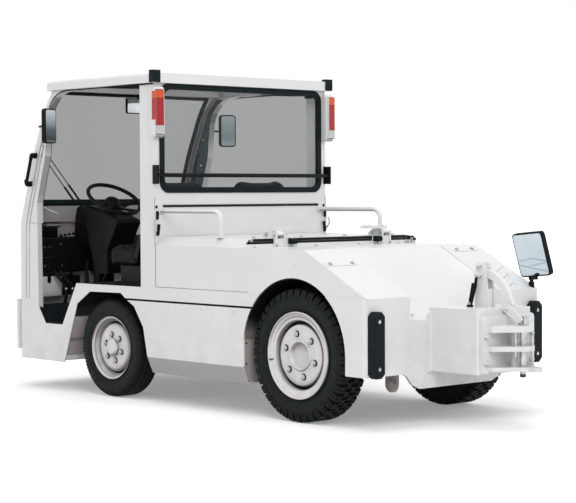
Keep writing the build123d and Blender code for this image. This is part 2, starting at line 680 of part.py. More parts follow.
def steering_wheel():
    """The rim, spokes, hub and shaft, square to the column."""
    section = Pos(WHEEL_RIM_R - 13, 0, 0) * Rot(90, 0, 0) * RegularPolygon(13, 8)
    rim = revolve(section, axis=Axis.Z)
    hub = Cylinder(42, 40) + Pos(0, 0, -80) * Cylinder(SHAFT_R, 140)
    wheel = rim + hub
    for angle in (90, 210, 330):
        wheel += Rot(0, 0, angle) * Pos((WHEEL_RIM_R - 13) / 2, 0, 0) * Box(WHEEL_RIM_R - 24, 26, 10)
    return on_column(wheel)


def dash_panels():
    """The inner nose: the black dash box and the heater box below it."""
    back = NOSE_X - SHEET
    upper = slab((DASH_X, back), (-640.0, 640.0), (754.0, 990.0))
    upper = fillet([e for e in upper.edges().filter_by(Axis.Y) if e.center().X < DASH_X + 1], 22)
    lower = slab((DASH_X + 20, back), (300.0, 600.0), (600.0, 730.0))
    return upper, lower


def pedals():
    """Accelerator and brake pads on their arms from the dash box."""
    made = []
    for y, wide in ((270.0, 50.0), (400.0, 80.0)):
        arm = side_prism(
            [(DASH_X, 785), (DASH_X, 815), (DASH_X - 12, 815), (DASH_X - 60, 560), (DASH_X - 48, 556)], y - 7, y + 7)
        pad = Pos(DASH_X - 57, y, 552) * Rot(0, 55, 0) * Box(70, wide, 10)
        made.append(arm + pad)
    return made


# Running gear --------------------------------------------------------------------------------

def frame_rails():
    """Two cranked box rails joined by cross members."""
    crank, front = FRONT_AXLE_X + 242, NOSE_X - 50
    outline = [
        (TAIL_X + PLATE, 440.0), (crank, 440.0), (crank + 150, 300.0), (front, 300.0),
        (front, 418.0), (crank + 220, 418.0), (crank + 70, 560.0), (TAIL_X + PLATE, 560.0),
    ]
    frame = side_prism(outline, 190.0, 250.0) + side_prism(outline, -250.0, -190.0)
    members = ((TAIL_X + 40, 500.0), (DECK_REAR_X - 104, 540.0), (CAB_BACK_X + 91, 500.0), (NOSE_X - 90, 360.0))
    for x, z in members:
        frame += slab((x - 25, x + 25), (-200.0, 200.0), (z - 40, z + 20))
    return frame


def engine_block():
    """The engine and gearbox as one plain block."""
    engine = slab((-150.0, 330.0), (-180.0, 180.0), (320.0, 900.0))
    gearbox = slab((-430.0, -140.0), (-140.0, 140.0), (300.0, 520.0))
    return engine + gearbox


def rear_axle():
    """The housing with its differential, pinion nose and wheel spindles."""
    z = REAR_TYRE_R
    tube = rod_y(REAR_AXLE_X, (-470.0, 470.0), z, 48)
    tube += rod_y(REAR_AXLE_X, (-600.0, 600.0), z, AXLE_END_R)
    case = chamfer(rod_x((REAR_AXLE_X - 85, REAR_AXLE_X + 85), 0, z, 130).edges(), 40)
    nose = rod_x((REAR_AXLE_X + 60, REAR_AXLE_X + 236), 0, z, 55)
    shaft = rod_x((-431.0, REAR_AXLE_X + 236), 0, z, 30)
    axle = tube + case + nose + shaft
    for side in (1, -1):
        axle += slab((REAR_AXLE_X - 60, REAR_AXLE_X + 60), (side * 195.0, side * 245.0), (z, 440.0))
    return axle


def front_axle_beam():
    """The beam with a bored boss at each kingpin."""
    z = FRONT_TYRE_R
    beam = slab((FRONT_AXLE_X - 35, FRONT_AXLE_X + 35), (-KINGPIN_Y, KINGPIN_Y), (z - 38, z + 38))
    for side in (1, -1):
        beam += rod_z(FRONT_AXLE_X, side * KINGPIN_Y, (z - 45, z + 45), 34)
        beam += slab((FRONT_AXLE_X - 50, FRONT_AXLE_X + 50), (side * 262.0, side * 318.0), (z - 10, z + 45))
    for side in (1, -1):
        beam -= rod_z(FRONT_AXLE_X, side * KINGPIN_Y, (0, 600), KINGPIN_R + RUN_FIT)
    return beam


def knuckle():
    """The left knuckle: kingpin, fork, spindle and steering arm."""
    z = FRONT_TYRE_R
    body = rod_z(FRONT_AXLE_X, KINGPIN_Y, (z - 82, z + 82), KINGPIN_R)
    for low, high in ((z - 82, z - 50), (z + 50, z + 82)):
        body += rod_z(FRONT_AXLE_X, KINGPIN_Y, (low, high), 32)
        body += slab((FRONT_AXLE_X - 32, FRONT_AXLE_X + 32), (KINGPIN_Y, KINGPIN_Y + 60), (low, high))
    body += slab((FRONT_AXLE_X - 32, FRONT_AXLE_X + 32), (KINGPIN_Y + 42, KINGPIN_Y + 60), (z - 82, z + 82))
    body += rod_y(FRONT_AXLE_X, (KINGPIN_Y + 42, 636.0), z, SPINDLE_R)
    arm = slab((FRONT_AXLE_X - STEER_ARM, FRONT_AXLE_X), (KINGPIN_Y - 18, KINGPIN_Y + 18), (z - 82, z - 62))
    arm += rod_z(FRONT_AXLE_X - STEER_ARM, KINGPIN_Y, (z - 82, z - 62), 22)
    arm += rod_z(FRONT_AXLE_X - STEER_ARM, KINGPIN_Y, (z - 110, z - 62), 9)
    return body + arm


def tie_rod():
    """The rod between the steering arms, with an eye at each end."""
    z = FRONT_TYRE_R - 98
    x = FRONT_AXLE_X - STEER_ARM
    rod = rod_y(x, (-KINGPIN_Y + 14, KINGPIN_Y - 14), z, 10)
    for side in (1, -1):
        rod += rod_z(x, side * KINGPIN_Y, (z - 13, z + 13), 20)
    for side in (1, -1):
        rod -= rod_z(x, side * KINGPIN_Y, (z - 40, z + 40), 9 + RUN_FIT)
    return rod


def leaf_spring(x, y, z, half, drop):
    """One flat spring pack with its eyes."""
    pack = slab((x - half, x + half), (y - 25, y + 25), (z, z + 9))
    for step in range(1, 4):
        reach = half - step * half * 0.22
        pack += slab((x - reach, x + reach), (y - 25, y + 25), (z + drop * step * 9, z + 9 + drop * step * 9))
    for end in (-1, 1):
        pack += rod_y(x + end * half, (y - 25, y + 25), z + 4.5, 20)
    return pack


def spring_hanger(x, y, z):
    """The plate that hangs below a rear spring's eye, with a rounded foot."""
    return slab((x - 29, x + 61), (y - 8, y + 8), (z - 97, z + 8)) + rod_y(x + 16, (y - 8, y + 8), z - 97, 45)


def tyre(radius, width, seat_r, out_y, axle_x, lugs, lug_h, side):
    """A tyre, with two staggered rows of lugs where it has any."""
    half = width / 2
    base = radius - lug_h
    flank = [((seat_r + base) / 2, half), (seat_r, half * 0.74), (seat_r, -half * 0.74), ((seat_r + base) / 2, -half)]
    crown = base - 6 if lugs else base
    profile = flank + [(crown, -half * 0.86), (crown, half * 0.86)]
    body = turned(profile, 0, 0, 0, side)
    if lugs:
        body += Rot(-90 * side, 0, 0) * tread(radius, base, half * 0.86, lugs, side)
    return Pos(axle_x, side * (out_y - half), radius) * body


def tread(radius, base, half, lugs, side):
    """A faceted band with a lug on each flat, the rows by turns; one corner meets the ground."""
    flats = 2 * lugs
    block = 2 * base * math.tan(math.pi / flats) * 0.94
    top = math.sqrt(radius ** 2 - (block / 2) ** 2)
    lead = math.degrees(math.asin(block / 2 / radius))
    band = Rot(0, 0, 180.0 / flats) * extrude(RegularPolygon(base, flats, major_radius=False), half, both=True)
    band -= Cylinder(base - 12, 4 * half)
    bars = []
    for turn in range(flats):
        row = 1 if turn % 2 else -1
        bar = Pos((base - 2 + top) / 2, 0, row * half * 0.48) * Box(top - base + 2, block, half * 0.9)
        bars.append(Rot(0, 0, turn * 360.0 / flats) * bar)
    return Rot(0, 0, lead + 90 * side) * (band + bars)


def rim(wheel_r, seat_r, width, out_y, axle_x, hub, side):
    """A deep-dished wheel with its hub; hub holds bore, outer radius, reach and cap depth."""
    bore_r, hub_r, hub_out, sink = hub
    half = width * 0.42
    t = RIM_WALL
    ring = seat_r * 0.66
    profile = [  # radius, outward offset
        (bore_r + RUN_FIT, -38.0), (hub_r, -38.0), (hub_r, 0.0), (ring, 0.0), (seat_r - t, 22.0),
        (seat_r - t, -half), (seat_r, -half), (seat_r, half), (seat_r + 12, half + 2),
        (seat_r + 12, half + 10), (seat_r - t - 8, 30.0), (ring, t),
        (hub_r + 8, t), (hub_r, hub_out), (hub_r - 15, hub_out - sink),
        (0.0, hub_out - sink), (0.0, hub_out - 26), (bore_r + RUN_FIT, hub_out - 26),
    ]
    return turned(profile, axle_x, side * (out_y - width / 2), wheel_r, side)


# Hitch ---------------------------------------------------------------------------------------

def tail_box():
    """The welded box behind the tail with its root flange."""
    box = slab((BOX_BACK_X, TAIL_X), (-BOX_Y, BOX_Y), BOX_Z)
    flange = slab((TAIL_X - 12, TAIL_X), (-BOX_Y - 22, BOX_Y + 22), (BOX_Z[0] - 6, BOX_Z[1] - 34))
    return fillet([e for e in box.edges().filter_by(Axis.Z) if e.center().X < TAIL_X - 100], 24) + flange


def hitch_frame():
    """The bolted mount plate with three tapered hitch plates, their spacer post and the foot pad."""
    back = BOX_BACK_X - MOUNT_T
    plate = slab((back, BOX_BACK_X), (-MOUNT_Y, MOUNT_Y), MOUNT_Z)
    frame = fillet([e for e in plate.edges().filter_by(Axis.X) if e.center().Z > MOUNT_Z[1] - 1], 24)
    for low, high, half, past in HITCH_LEVELS:
        nose_x = HITCH_PIN_X - past
        tongue = [
            (back + 2, half), (back - 30, half), (nose_x, 30.0), (nose_x, -30.0), (back - 30, -half), (back + 2, -half),
        ]
        frame += plan_prism(tongue, low, high)
    frame += rod_z(HITCH_PIN_X + 58, 0, (HITCH_LEVELS[0][0], HITCH_LEVELS[2][1]), 21)
    pad = slab((HITCH_TIP_X, HITCH_PIN_X + 10), (-34.0, 26.0), (318.0, 342.0))
    frame += fillet([e for e in pad.edges().filter_by(Axis.Z) if e.center().X < HITCH_TIP_X + 5], 26)
    return frame - rod_z(HITCH_PIN_X, 0, (200, 700), HITCH_PIN_R + RUN_FIT)


def hitch_tower():
    """Two tapered cheeks with the lever's pivot pin, and the post that the lever rests over."""
    x, z = LEVER_PIVOT
    base = BOX_Z[1]
    outline = [
        (x - 66, base), (x + 30, base), (x + 26, z + 38), (x + 10, z + 66), (x - 28, z + 62), (x - 48, z + 6),
    ]
    near = LEVER_T / 2 + SIDE_GAP
    tower = side_prism(outline, near, near + 12) + side_prism(outline, -near - 12, -near)
    tower += rod_y(x, (-near - 12, near + 26), z, 13)
    tower += rod_y(x, (near + 12, near + 26), z, 23)
    tower += rod_y(x - 7, (near + 12, near + 24), z + 48, 11)
    return tower, rod_z(x - 44, 0, (base, base + 102), 19)


def hitch_lever():
    """The curved release lever, bored for its pivot, with the link's pin at its lower end."""
    x, z = LEVER_PIVOT
    foot_x, foot_z = LINK_TOP
    half = LEVER_T / 2
    outer = ThreePointArc((x - 20, -half, z + 30), (x - 140, -half, z - 25), (x - 196, -half, z - 104))
    inner = ThreePointArc((x - 142, -half, z - 96), (x - 100, -half, z - 45), (x - 24, -half, z - 20))
    down = Polyline(
        outer @ 1, (foot_x - 26, -half, foot_z + 20), (foot_x - 22, -half, foot_z - 26), (foot_x + 24, -half, foot_z - 26),
        (foot_x + 24, -half, foot_z + 6), (x - 142, -half, foot_z + 8), inner @ 0)
    face = make_face(outer + down + inner + Line(inner @ 1, outer @ 0))
    lever = extrude(face, amount=LEVER_T, dir=(0, 1, 0)) + rod_y(x, (-half, half), z, 30)
    lever += rod_y(foot_x, (0, LINK_Y[1] + 3), foot_z, 9)
    return lever - rod_y(x, (-half - 5, half + 5), z, 13 + RUN_FIT)


def hitch_link():
    """The flat tapered link from the lever's foot down beside the draw pin's head."""
    x0, z0 = LINK_TOP
    x1, z1 = HITCH_PIN_X, LINK_FOOT_Z
    run = math.hypot(x1 - x0, z1 - z0)
    slope = math.asin((LINK_R[0] - LINK_R[1]) / run)
    outline = []
    for r, at in ((LINK_R[0], 0.0), (LINK_R[1], run)):
        outline.append((at + r * math.sin(slope), r * math.cos(slope)))
    low_y, high_y = LINK_Y
    web = side_prism(outline + [(px, -pz) for px, pz in reversed(outline)], low_y, high_y)
    bar = web + rod_y(0, LINK_Y, 0, LINK_R[0]) + rod_y(run, LINK_Y, 0, LINK_R[1])
    rib = side_prism([(14, 17), (run, 12), (run, 18), (14, 23)], high_y, high_y + 5)
    bar = (bar + rib) - rod_y(0, (low_y - 5, high_y + 5), 0, 9 + RUN_FIT)
    turn = math.degrees(math.atan2(z0 - z1, x1 - x0))
    return Pos(x0, 0, z0) * Rot(0, turn, 0) * bar


def release_strut():
    """The slim strut between the lever's pivot stud and the box top."""
    x, z = LEVER_PIVOT
    y = LEVER_T / 2 + SIDE_GAP + 33
    top, foot = (x + 6, z - 16), (x + 48, BOX_Z[1] + 8)
    strut = rod_y(x, (y - 7, y + 7), z, 12)
    bar = side_prism([
        (x - 4, z), (x + 4, z), (top[0] + 7, z - 60), (foot[0] + 10, foot[1]), (foot[0] - 10, foot[1]), (top[0] - 3, z - 60),
    ], y - 7, y + 7)
    return strut + bar + slab((foot[0] - 14, foot[0] + 14), (y - 12, y + 12), (BOX_Z[1], BOX_Z[1] + 12))


def hitch_pin():
    """The draw pin, hung by its square head on the top plate."""
    seat = HITCH_LEVELS[2][1]
    pin = rod_z(HITCH_PIN_X, 0, (HITCH_LEVELS[0][0] - 18, seat + 10), HITCH_PIN_R)
    side = LINK_Y[0] - SIDE_GAP
    return pin + slab((HITCH_PIN_X - 20, HITCH_PIN_X + 20), (-side - 6, side), (seat, seat + 48))


def both(name, shape):
    """A piece and its mirror image in one node."""
    write(name, shape, other_side(shape))


def build():
    shell = cab_envelope(0) - cab_envelope(45)
    skin = cab_envelope(0) - cab_envelope(SHEET)
    write("front_cowl", *front_cowl(skin))
    write("front_bumper", front_bumper())
    side = cab_side()
    write("cab_sides", side, other_side(side))
    write("cab_floor", cab_floor())
    write("windscreen_frame", windscreen_frame(shell))
    write("window_glass", windscreen_glass(), rear_glass())
    write("rear_wall", rear_wall())
    write("window_gasket", window_gasket())
    pan = roof()
    write("roof", pan)
    both("roof_caps", roof_cap(pan))
    both("skirts", skirt())
    panel = side_panel()
    write("side_panels", panel, other_side(panel))
    write("rear_body", rear_body())
    both("wheel_liners", wheel_liner())
    both("bump_pads", bump_pad())
    write("deck_lid", deck_lid())
    write("lid_hinges", lid_hinge(HINGE_Y), lid_hinge(-HINGE_Y))
    both("lid_stops", lid_stop())
    both("handrails", handrail())
    write("guard_bar", guard_bar())
    both("tail_lamp_housings", tail_lamp())
    lenses = lamp_lens()
    write("tail_lamp_lenses", *lenses, *[other_side(lens) for lens in lenses])
    case, glass = pillar_mirror()
    corner_case, corner_glass = corner_mirror()
    write("mirror_housings", case, other_side(case), corner_case)
    write("mirror_glasses", glass, other_side(glass), corner_glass)
    both("pillar_grips", pillar_grip())
    write("seat_cushions", seat_cushion(SEAT_Y), seat_cushion(-SEAT_Y))
    write("seat_backs", seat_back(SEAT_Y), seat_back(-SEAT_Y))
    write("seat_bases", seat_base(SEAT_Y), seat_base(-SEAT_Y))
    write("steering_column", steering_column())
    write("steering_wheel", steering_wheel())
    write("dash_panels", *dash_panels())
    write("pedals", *pedals())
    write("frame_rails", frame_rails())
    write("engine_block", engine_block())
    write("rear_axle", rear_axle())
    write("front_axle_beam", front_axle_beam())
    left = knuckle()
    write("knuckle_left", left)
    write("knuckle_right", other_side(left))
    write("tie_rod", tie_rod())
    springs = []
    for side in (1, -1):
        springs.append(leaf_spring(FRONT_AXLE_X, side * 290.0, FRONT_TYRE_R + 45, 380.0, 1))
        rear = leaf_spring(REAR_AXLE_X, side * 360.0, REAR_TYRE_R - 48 - 9, 440.0, -1)
        springs.append(rear + spring_hanger(REAR_AXLE_X - 440, side * 360.0, REAR_TYRE_R - 53))
    write("leaf_springs", *springs)
    for name, sign in (("left", 1), ("right", -1)):
        write(f"tyre_rear_{name}", tyre(
            REAR_TYRE_R, REAR_TYRE_W, REAR_SEAT_R, REAR_TYRE_OUT_Y, REAR_AXLE_X, REAR_LUGS, REAR_LUG_H, sign))
        write(f"rim_rear_{name}", rim(
            REAR_TYRE_R, REAR_SEAT_R, REAR_TYRE_W, REAR_TYRE_OUT_Y, REAR_AXLE_X, REAR_HUB, sign))
        write(f"tyre_front_{name}", tyre(
            FRONT_TYRE_R, FRONT_TYRE_W, FRONT_SEAT_R, FRONT_TYRE_OUT_Y, FRONT_AXLE_X, 0, 0.0, sign))
        write(f"rim_front_{name}", rim(
            FRONT_TYRE_R, FRONT_SEAT_R, FRONT_TYRE_W, FRONT_TYRE_OUT_Y, FRONT_AXLE_X, FRONT_HUB, sign))
    write("tail_box", tail_box())
    write("hitch_frame", hitch_frame())
    write("hitch_tower", *hitch_tower())
    write("release_strut", release_strut())
    write("hitch_lever", hitch_lever())
    write("hitch_link", hitch_link())
    write("hitch_pin", hitch_pin())


build()
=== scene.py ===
"""Airport baggage tug: finishes, fittings, tyres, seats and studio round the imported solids.

Metres, +X forward, +Y left, +Z up.
"""
import math

import bmesh
import bpy
from mathutils import Matrix, Vector


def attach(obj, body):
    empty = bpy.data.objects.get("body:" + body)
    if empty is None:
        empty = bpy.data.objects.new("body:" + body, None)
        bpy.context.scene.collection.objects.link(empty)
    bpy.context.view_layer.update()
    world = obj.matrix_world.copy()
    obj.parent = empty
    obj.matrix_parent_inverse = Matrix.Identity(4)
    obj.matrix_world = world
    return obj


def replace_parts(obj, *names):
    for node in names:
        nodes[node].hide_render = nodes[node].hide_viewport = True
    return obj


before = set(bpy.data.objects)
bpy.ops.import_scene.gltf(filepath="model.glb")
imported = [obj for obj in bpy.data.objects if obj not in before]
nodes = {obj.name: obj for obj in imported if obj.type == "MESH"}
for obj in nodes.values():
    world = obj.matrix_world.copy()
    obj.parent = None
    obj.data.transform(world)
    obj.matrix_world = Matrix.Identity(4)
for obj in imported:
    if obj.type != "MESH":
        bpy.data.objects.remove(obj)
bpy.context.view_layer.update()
scene = bpy.context.scene

REAR_WHEEL = (-0.796, 0.375)  # x and height of the axle
FRONT_WHEEL = (0.938, 0.311)
REAR_MIDDLE = 0.587  # the middle plane of each tyre, out from the middle of the tug
FRONT_MIDDLE = 0.5935
SEAT_MIDDLE = 0.35
SWELL = 0.024  # the most that a pad's filling may push its cover out
WHEEL_NUTS = 6
FIRST_NUT = 43.0  # degrees
LUGS = 40
SIPES = 84
CHAIN_LINKS = 15
CHAIN_PITCH = 0.0115
CLOTH_FRAMES = 20
CLOTH_GRID = 0.009
HAIR = 1e-6  # lengths below this count as nothing
SHARP_ANGLE = math.radians(35.0)
HEXAGON = 1.732  # width across the flats, over the radius of the corners


# Finishes -----

def finish(name, colour, roughness, metallic=0.0, coat=0.0, specular=0.5):
    """A plain finish, ready for its patterns."""
    material = bpy.data.materials.new(name)
    material.use_nodes = True
    set_sockets(
        shader_of(material), Base_Color=(*colour, 1.0), Roughness=roughness, Metallic=metallic, Coat_Weight=coat,
        Coat_Roughness=0.15, Specular_IOR_Level=specular)
    return material


def shader_of(material):
    return material.node_tree.nodes["Principled BSDF"]


def colour_of(material):
    """The socket that colours a finish now."""
    return shader_of(material).inputs["Base Color"].links[0].from_socket


def shade(colour, share):
    return tuple(c * share for c in colour)


def set_sockets(node, **values):
    """Sets a node's plain sockets, each named with _ for a space."""
    for socket, value in values.items():
        node.inputs[socket.replace("_", " ")].default_value = value
    return node


def add_node(material, kind, **values):
    return set_sockets(material.node_tree.nodes.new(kind), **values)


def join(material, start, end):
    material.node_tree.links.new(start, end)


def feed(material, value, socket):
    """Gives a socket a colour, a number or another socket."""
    if isinstance(value, tuple):
        socket.default_value = (*value, 1.0)
    elif isinstance(value, float):
        socket.default_value = value
    else:
        join(material, value, socket)


def place_on(material, middle=(0, 0, 0)):
    """Object coordinates, centred on a point of the piece."""
    where = add_node(material, "ShaderNodeTexCoord")
    mapping = add_node(material, "ShaderNodeMapping", Location=tuple(-m for m in middle))
    join(material, where.outputs["Object"], mapping.inputs["Vector"])
    return mapping.outputs["Vector"]


def texture(material, kind, middle=(0, 0, 0), **values):
    """A pattern laid on the object coordinates."""
    node = add_node(material, "ShaderNodeTex" + kind, **values)
    join(material, place_on(material, middle), node.inputs["Vector"])
    return node


def cloud(material, scale, detail, rough=0.55):
    """A noise pattern, 0 to 1."""
    return texture(material, "Noise", Scale=scale, Detail=detail, Roughness=rough).outputs["Fac"]


def spread(material, value, low, high, out_low=0.0, out_high=1.0):
    """Stretches a pattern between two values, clamped."""
    node = add_node(material, "ShaderNodeMapRange", From_Min=low, From_Max=high, To_Min=out_low, To_Max=out_high)
    join(material, value, node.inputs["Value"])
    return node.outputs["Result"]


def patches(material, scale, detail, low, high, out_low=0.0, out_high=1.0, rough=0.55):
    """A noise pattern stretched into patches."""
    return spread(material, cloud(material, scale, detail, rough), low, high, out_low, out_high)


def maths(material, operation, *values):
    """A sum on numbers and sockets."""
    node = add_node(material, "ShaderNodeMath")
    node.operation = operation
    for socket, value in zip(node.inputs, values):
        feed(material, value, socket)
    return node.outputs["Value"]


def blend_colour(material, share, low, high, way="MIX"):
    """A colour between two, by a pattern; either may be a colour or a socket."""
    node = add_node(material, "ShaderNodeMix")
    node.data_type = "RGBA"
    node.blend_type = way
    for number, value in ((0, share), (6, low), (7, high)):
        feed(material, value, node.inputs[number])
    return node.outputs[2]


def part_of(material, vector, axis):
    """One axis of a vector."""
    split = add_node(material, "ShaderNodeSeparateXYZ")
    join(material, vector, split.inputs["Vector"])
    return split.outputs[axis]


def height_on(material):
    """The height above the ground, in metres."""
    return part_of(material, place_on(material), "Z")


def paint_with(material, *blend):
    """Colours a finish with a blend of two colours."""
    join(material, blend_colour(material, *blend), shader_of(material).inputs["Base Color"])


def roughen(material, *noise):
    """Varies a finish's roughness in patches."""
    join(material, patches(material, *noise), shader_of(material).inputs["Roughness"])


def relief(material, value, distance, strength):
    """Bump from a pattern, on top of any there already."""
    shader = shader_of(material)
    bump = add_node(material, "ShaderNodeBump", Strength=strength, Distance=distance)
    if shader.inputs["Normal"].is_linked:
        join(material, shader.inputs["Normal"].links[0].from_socket, bump.inputs["Normal"])
    join(material, value, bump.inputs["Height"])
    join(material, bump.outputs["Normal"], shader.inputs["Normal"])


def bands(material, value, steps, change="CONSTANT"):
    """Colours by a value: steps hold where each colour starts."""
    ramp = add_node(material, "ShaderNodeValToRGB")
    ramp.color_ramp.interpolation = change
    points = ramp.color_ramp.elements
    for number, (start, colour) in enumerate(steps):
        point = points[number] if number < 2 else points.new(start)
        point.position, point.color = start, (*colour, 1.0)
    join(material, value, ramp.inputs["Fac"])
    return ramp.outputs["Color"]


def enamel(name, colour, dust, low_dust):
    """Sprayed enamel: soft sheen, faint orange peel, uneven tone, dust towards the ground, and painted shade on faces
    that look down.
    """
    paint = finish(name, colour, 0.34, coat=0.12)
    clean = blend_colour(paint, patches(paint, 2.3, 4.0, 0.35, 0.65), shade(colour, 0.955), colour)
    low = spread(paint, height_on(paint), 0.75, 0.15, 0.0, low_dust)
    dirt = maths(paint, "MULTIPLY", low, patches(paint, 9.0, 6.0, 0.38, 0.72, rough=0.65))
    # Painted shade: faces that look down are darkened towards a dimmed dust colour, standing for the shade beneath
    # them.
    facing = part_of(paint, add_node(paint, "ShaderNodeNewGeometry").outputs["Normal"], "Z")
    under = spread(paint, facing, -0.08, -0.4, 0.0, 0.85)
    paint_with(paint, under, blend_colour(paint, dirt, clean, dust), shade(dust, 0.62))
    roughen(paint, 14.0, 4.0, 0.3, 0.7, 0.27, 0.42)
    relief(paint, cloud(paint, 420.0, 1.0), 0.0004, 0.12)
    return paint


def moulded(name, colour, roughness, grain_scale, grain_depth):
    """Grained plastic or rubber with a dusty bloom."""
    trim = finish(name, colour, roughness, specular=0.1)
    bloom = patches(trim, 11.0, 5.0, 0.42, 0.75, rough=0.65)
    paint_with(trim, bloom, colour, tuple(c * 1.3 + 0.001 for c in colour))
    roughen(trim, 24.0, 3.0, 0.3, 0.7, roughness - 0.07, roughness + 0.1)
    relief(trim, cloud(trim, grain_scale, 2.0), grain_depth, 0.5)
    return trim


def cast_metal(name, colour, metallic, roughness, grain_scale, depth):
    """Cast or rolled metal with a coarse skin and oily patches."""
    metal = finish(name, colour, roughness, metallic=metallic)
    oil = patches(metal, 16.0, 6.0, 0.35, 0.7, rough=0.7)
    paint_with(metal, oil, colour, shade(colour, 0.55))
    roughen(metal, 30.0, 4.0, 0.3, 0.7, roughness - 0.1, roughness + 0.15)
    relief(metal, cloud(metal, grain_scale, 3.0), depth, 0.6)
    return metal


def tyre_rubber(name, axle):
    """Rubber with fine rings round the axle on its sidewall and patches of grey dust."""
    rubber = finish(name, (0.005, 0.007, 0.008), 0.62, specular=0.16)
    dust = patches(rubber, 26.0, 6.0, 0.45, 0.8, 0.0, 0.55, rough=0.7)
    paint_with(rubber, dust, (0.005, 0.008, 0.009), (0.018, 0.018, 0.018))
    roughen(rubber, 40.0, 3.0, 0.3, 0.7, 0.52, 0.78)
    rings = texture(rubber, "Wave", (axle[0], 0.0, axle[1]), Scale=42.0, Distortion=0.0)
    rings.wave_type = "RINGS"
    rings.rings_direction = "Y"
    relief(rubber, rings.outputs["Fac"], 0.0012, 0.25)
    relief(rubber, cloud(rubber, 300.0, 2.0), 0.0006, 0.4)
    return rubber


def seat_cloth(name):
    """Black grained vinyl with worn, shinier patches."""
    vinyl = finish(name, (0.004, 0.005, 0.006), 0.5, specular=0.1)
    relief(vinyl, texture(vinyl, "Voronoi", Scale=260.0).outputs["Distance"], 0.0008, 0.5)
    wear = patches(vinyl, 7.0, 5.0, 0.4, 0.7)
    paint_with(vinyl, wear, (0.0015, 0.002, 0.0025), (0.004, 0.0045, 0.005))
    roughen(vinyl, 9.0, 3.0, 0.35, 0.7, 0.4, 0.62)
    return vinyl


def pane(name, colour, alpha):
    """Thin glass, see-through, with a faint film of dust."""
    glass = finish(name, colour, 0.05)
    set_sockets(shader_of(glass), Alpha=alpha)
    roughen(glass, 5.0, 5.0, 0.4, 0.8, 0.03, 0.12)
    return glass


def silvered(name, colour):
    """A mirror's glass, faintly smeared; high up it shows painted reflections in soft bands, one set for each side of
    the tug.
    """
    glass = finish(name, colour, 0.05, metallic=1.0)
    roughen(glass, 12.0, 4.0, 0.4, 0.8, 0.03, 0.14)
    clean = blend_colour(glass, patches(glass, 4.0, 2.0, 0.3, 0.7), shade(colour, 0.9), colour)
    # Painted reflections: the dark and pale bands that the mirrors on each side show.
    left = [
        (0.0, (0.6, 0.62, 0.63)), (0.18, (0.04, 0.05, 0.055)), (0.42, (0.1, 0.12, 0.13)),
        (0.6, (0.28, 0.32, 0.34)), (1.0, (0.62, 0.66, 0.68)),
    ]
    right = [
        (0.0, (0.8, 0.84, 0.86)), (0.35, (0.42, 0.49, 0.53)), (0.7, (0.58, 0.66, 0.7)), (1.0, (0.8, 0.84, 0.86)),
    ]
    share = spread(glass, height_on(glass), 1.58, 1.86)
    seen = [bands(glass, share, steps, "LINEAR") for steps in (right, left)]
    side = spread(glass, part_of(glass, place_on(glass), "Y"), -0.1, 0.1)
    high = spread(glass, height_on(glass), 1.4, 1.5)
    paint_with(glass, high, clean, blend_colour(glass, side, *seen))
    return glass


def lamp_colours(name):
    """Lamp glass: clear below, red in the middle and amber on top, finely ribbed."""
    lens = finish(name, (0.6, 0.05, 0.03), 0.18, coat=0.12, specular=0.3)
    steps = [(0.0, (0.62, 0.62, 0.6)), (0.202, (0.42, 0.004, 0.006)), (0.809, (0.72, 0.085, 0.01))]
    colour = bands(lens, spread(lens, height_on(lens), 1.638, 1.905), steps)
    tone = blend_colour(lens, patches(lens, 30.0, 3.0, 0.3, 0.7), (0.8, 0.8, 0.8), (1.0, 1.0, 1.0))
    paint_with(lens, 1.0, colour, tone, "MULTIPLY")
    ribs = texture(lens, "Wave", Scale=60.0)
    ribs.bands_direction = "Z"
    relief(lens, ribs.outputs["Fac"], 0.002, 0.5)
    return lens


def arch_paint(name):
    """The arches' brown-grey inner faces, with painted shadow turning them black towards the top."""
    liner = enamel(name, (0.25, 0.228, 0.217), (0.14, 0.122, 0.114), 0.6)
    # Painted shadow: the upper part of each arch goes near black, its edge broken by noise.
    edge = maths(liner, "MULTIPLY_ADD", cloud(liner, 9.0, 5.0), 0.1, height_on(liner))
    black = spread(liner, edge, 0.53, 0.62)
    paint_with(liner, black, colour_of(liner), (0.006, 0.007, 0.008))
    set_sockets(shader_of(liner), Specular_IOR_Level=0.12, Coat_Weight=0.0)
    return liner


def dished_paint(name):
    """Wheel enamel with painted shade from ambient occlusion, darker in the dish than on the outer ring."""
    paint = enamel(name, (0.76, 0.75, 0.745), (0.36, 0.33, 0.31), 0.5)
    # Painted shade: ambient occlusion darkens the hollows of the dish towards a dark grey-brown.
    occlusion_shade = add_node(paint, "ShaderNodeAmbientOcclusion", Distance=0.1)
    occlusion_shade.samples = 8
    outer = spread(paint, occlusion_shade.outputs["AO"], 0.25, 0.85)
    paint_with(paint, outer, (0.16, 0.15, 0.148), colour_of(paint))
    return paint


def plain_name(material):
    """A finish's name without the number that tells it from a namesake."""
    return material.name.split(".")[0]


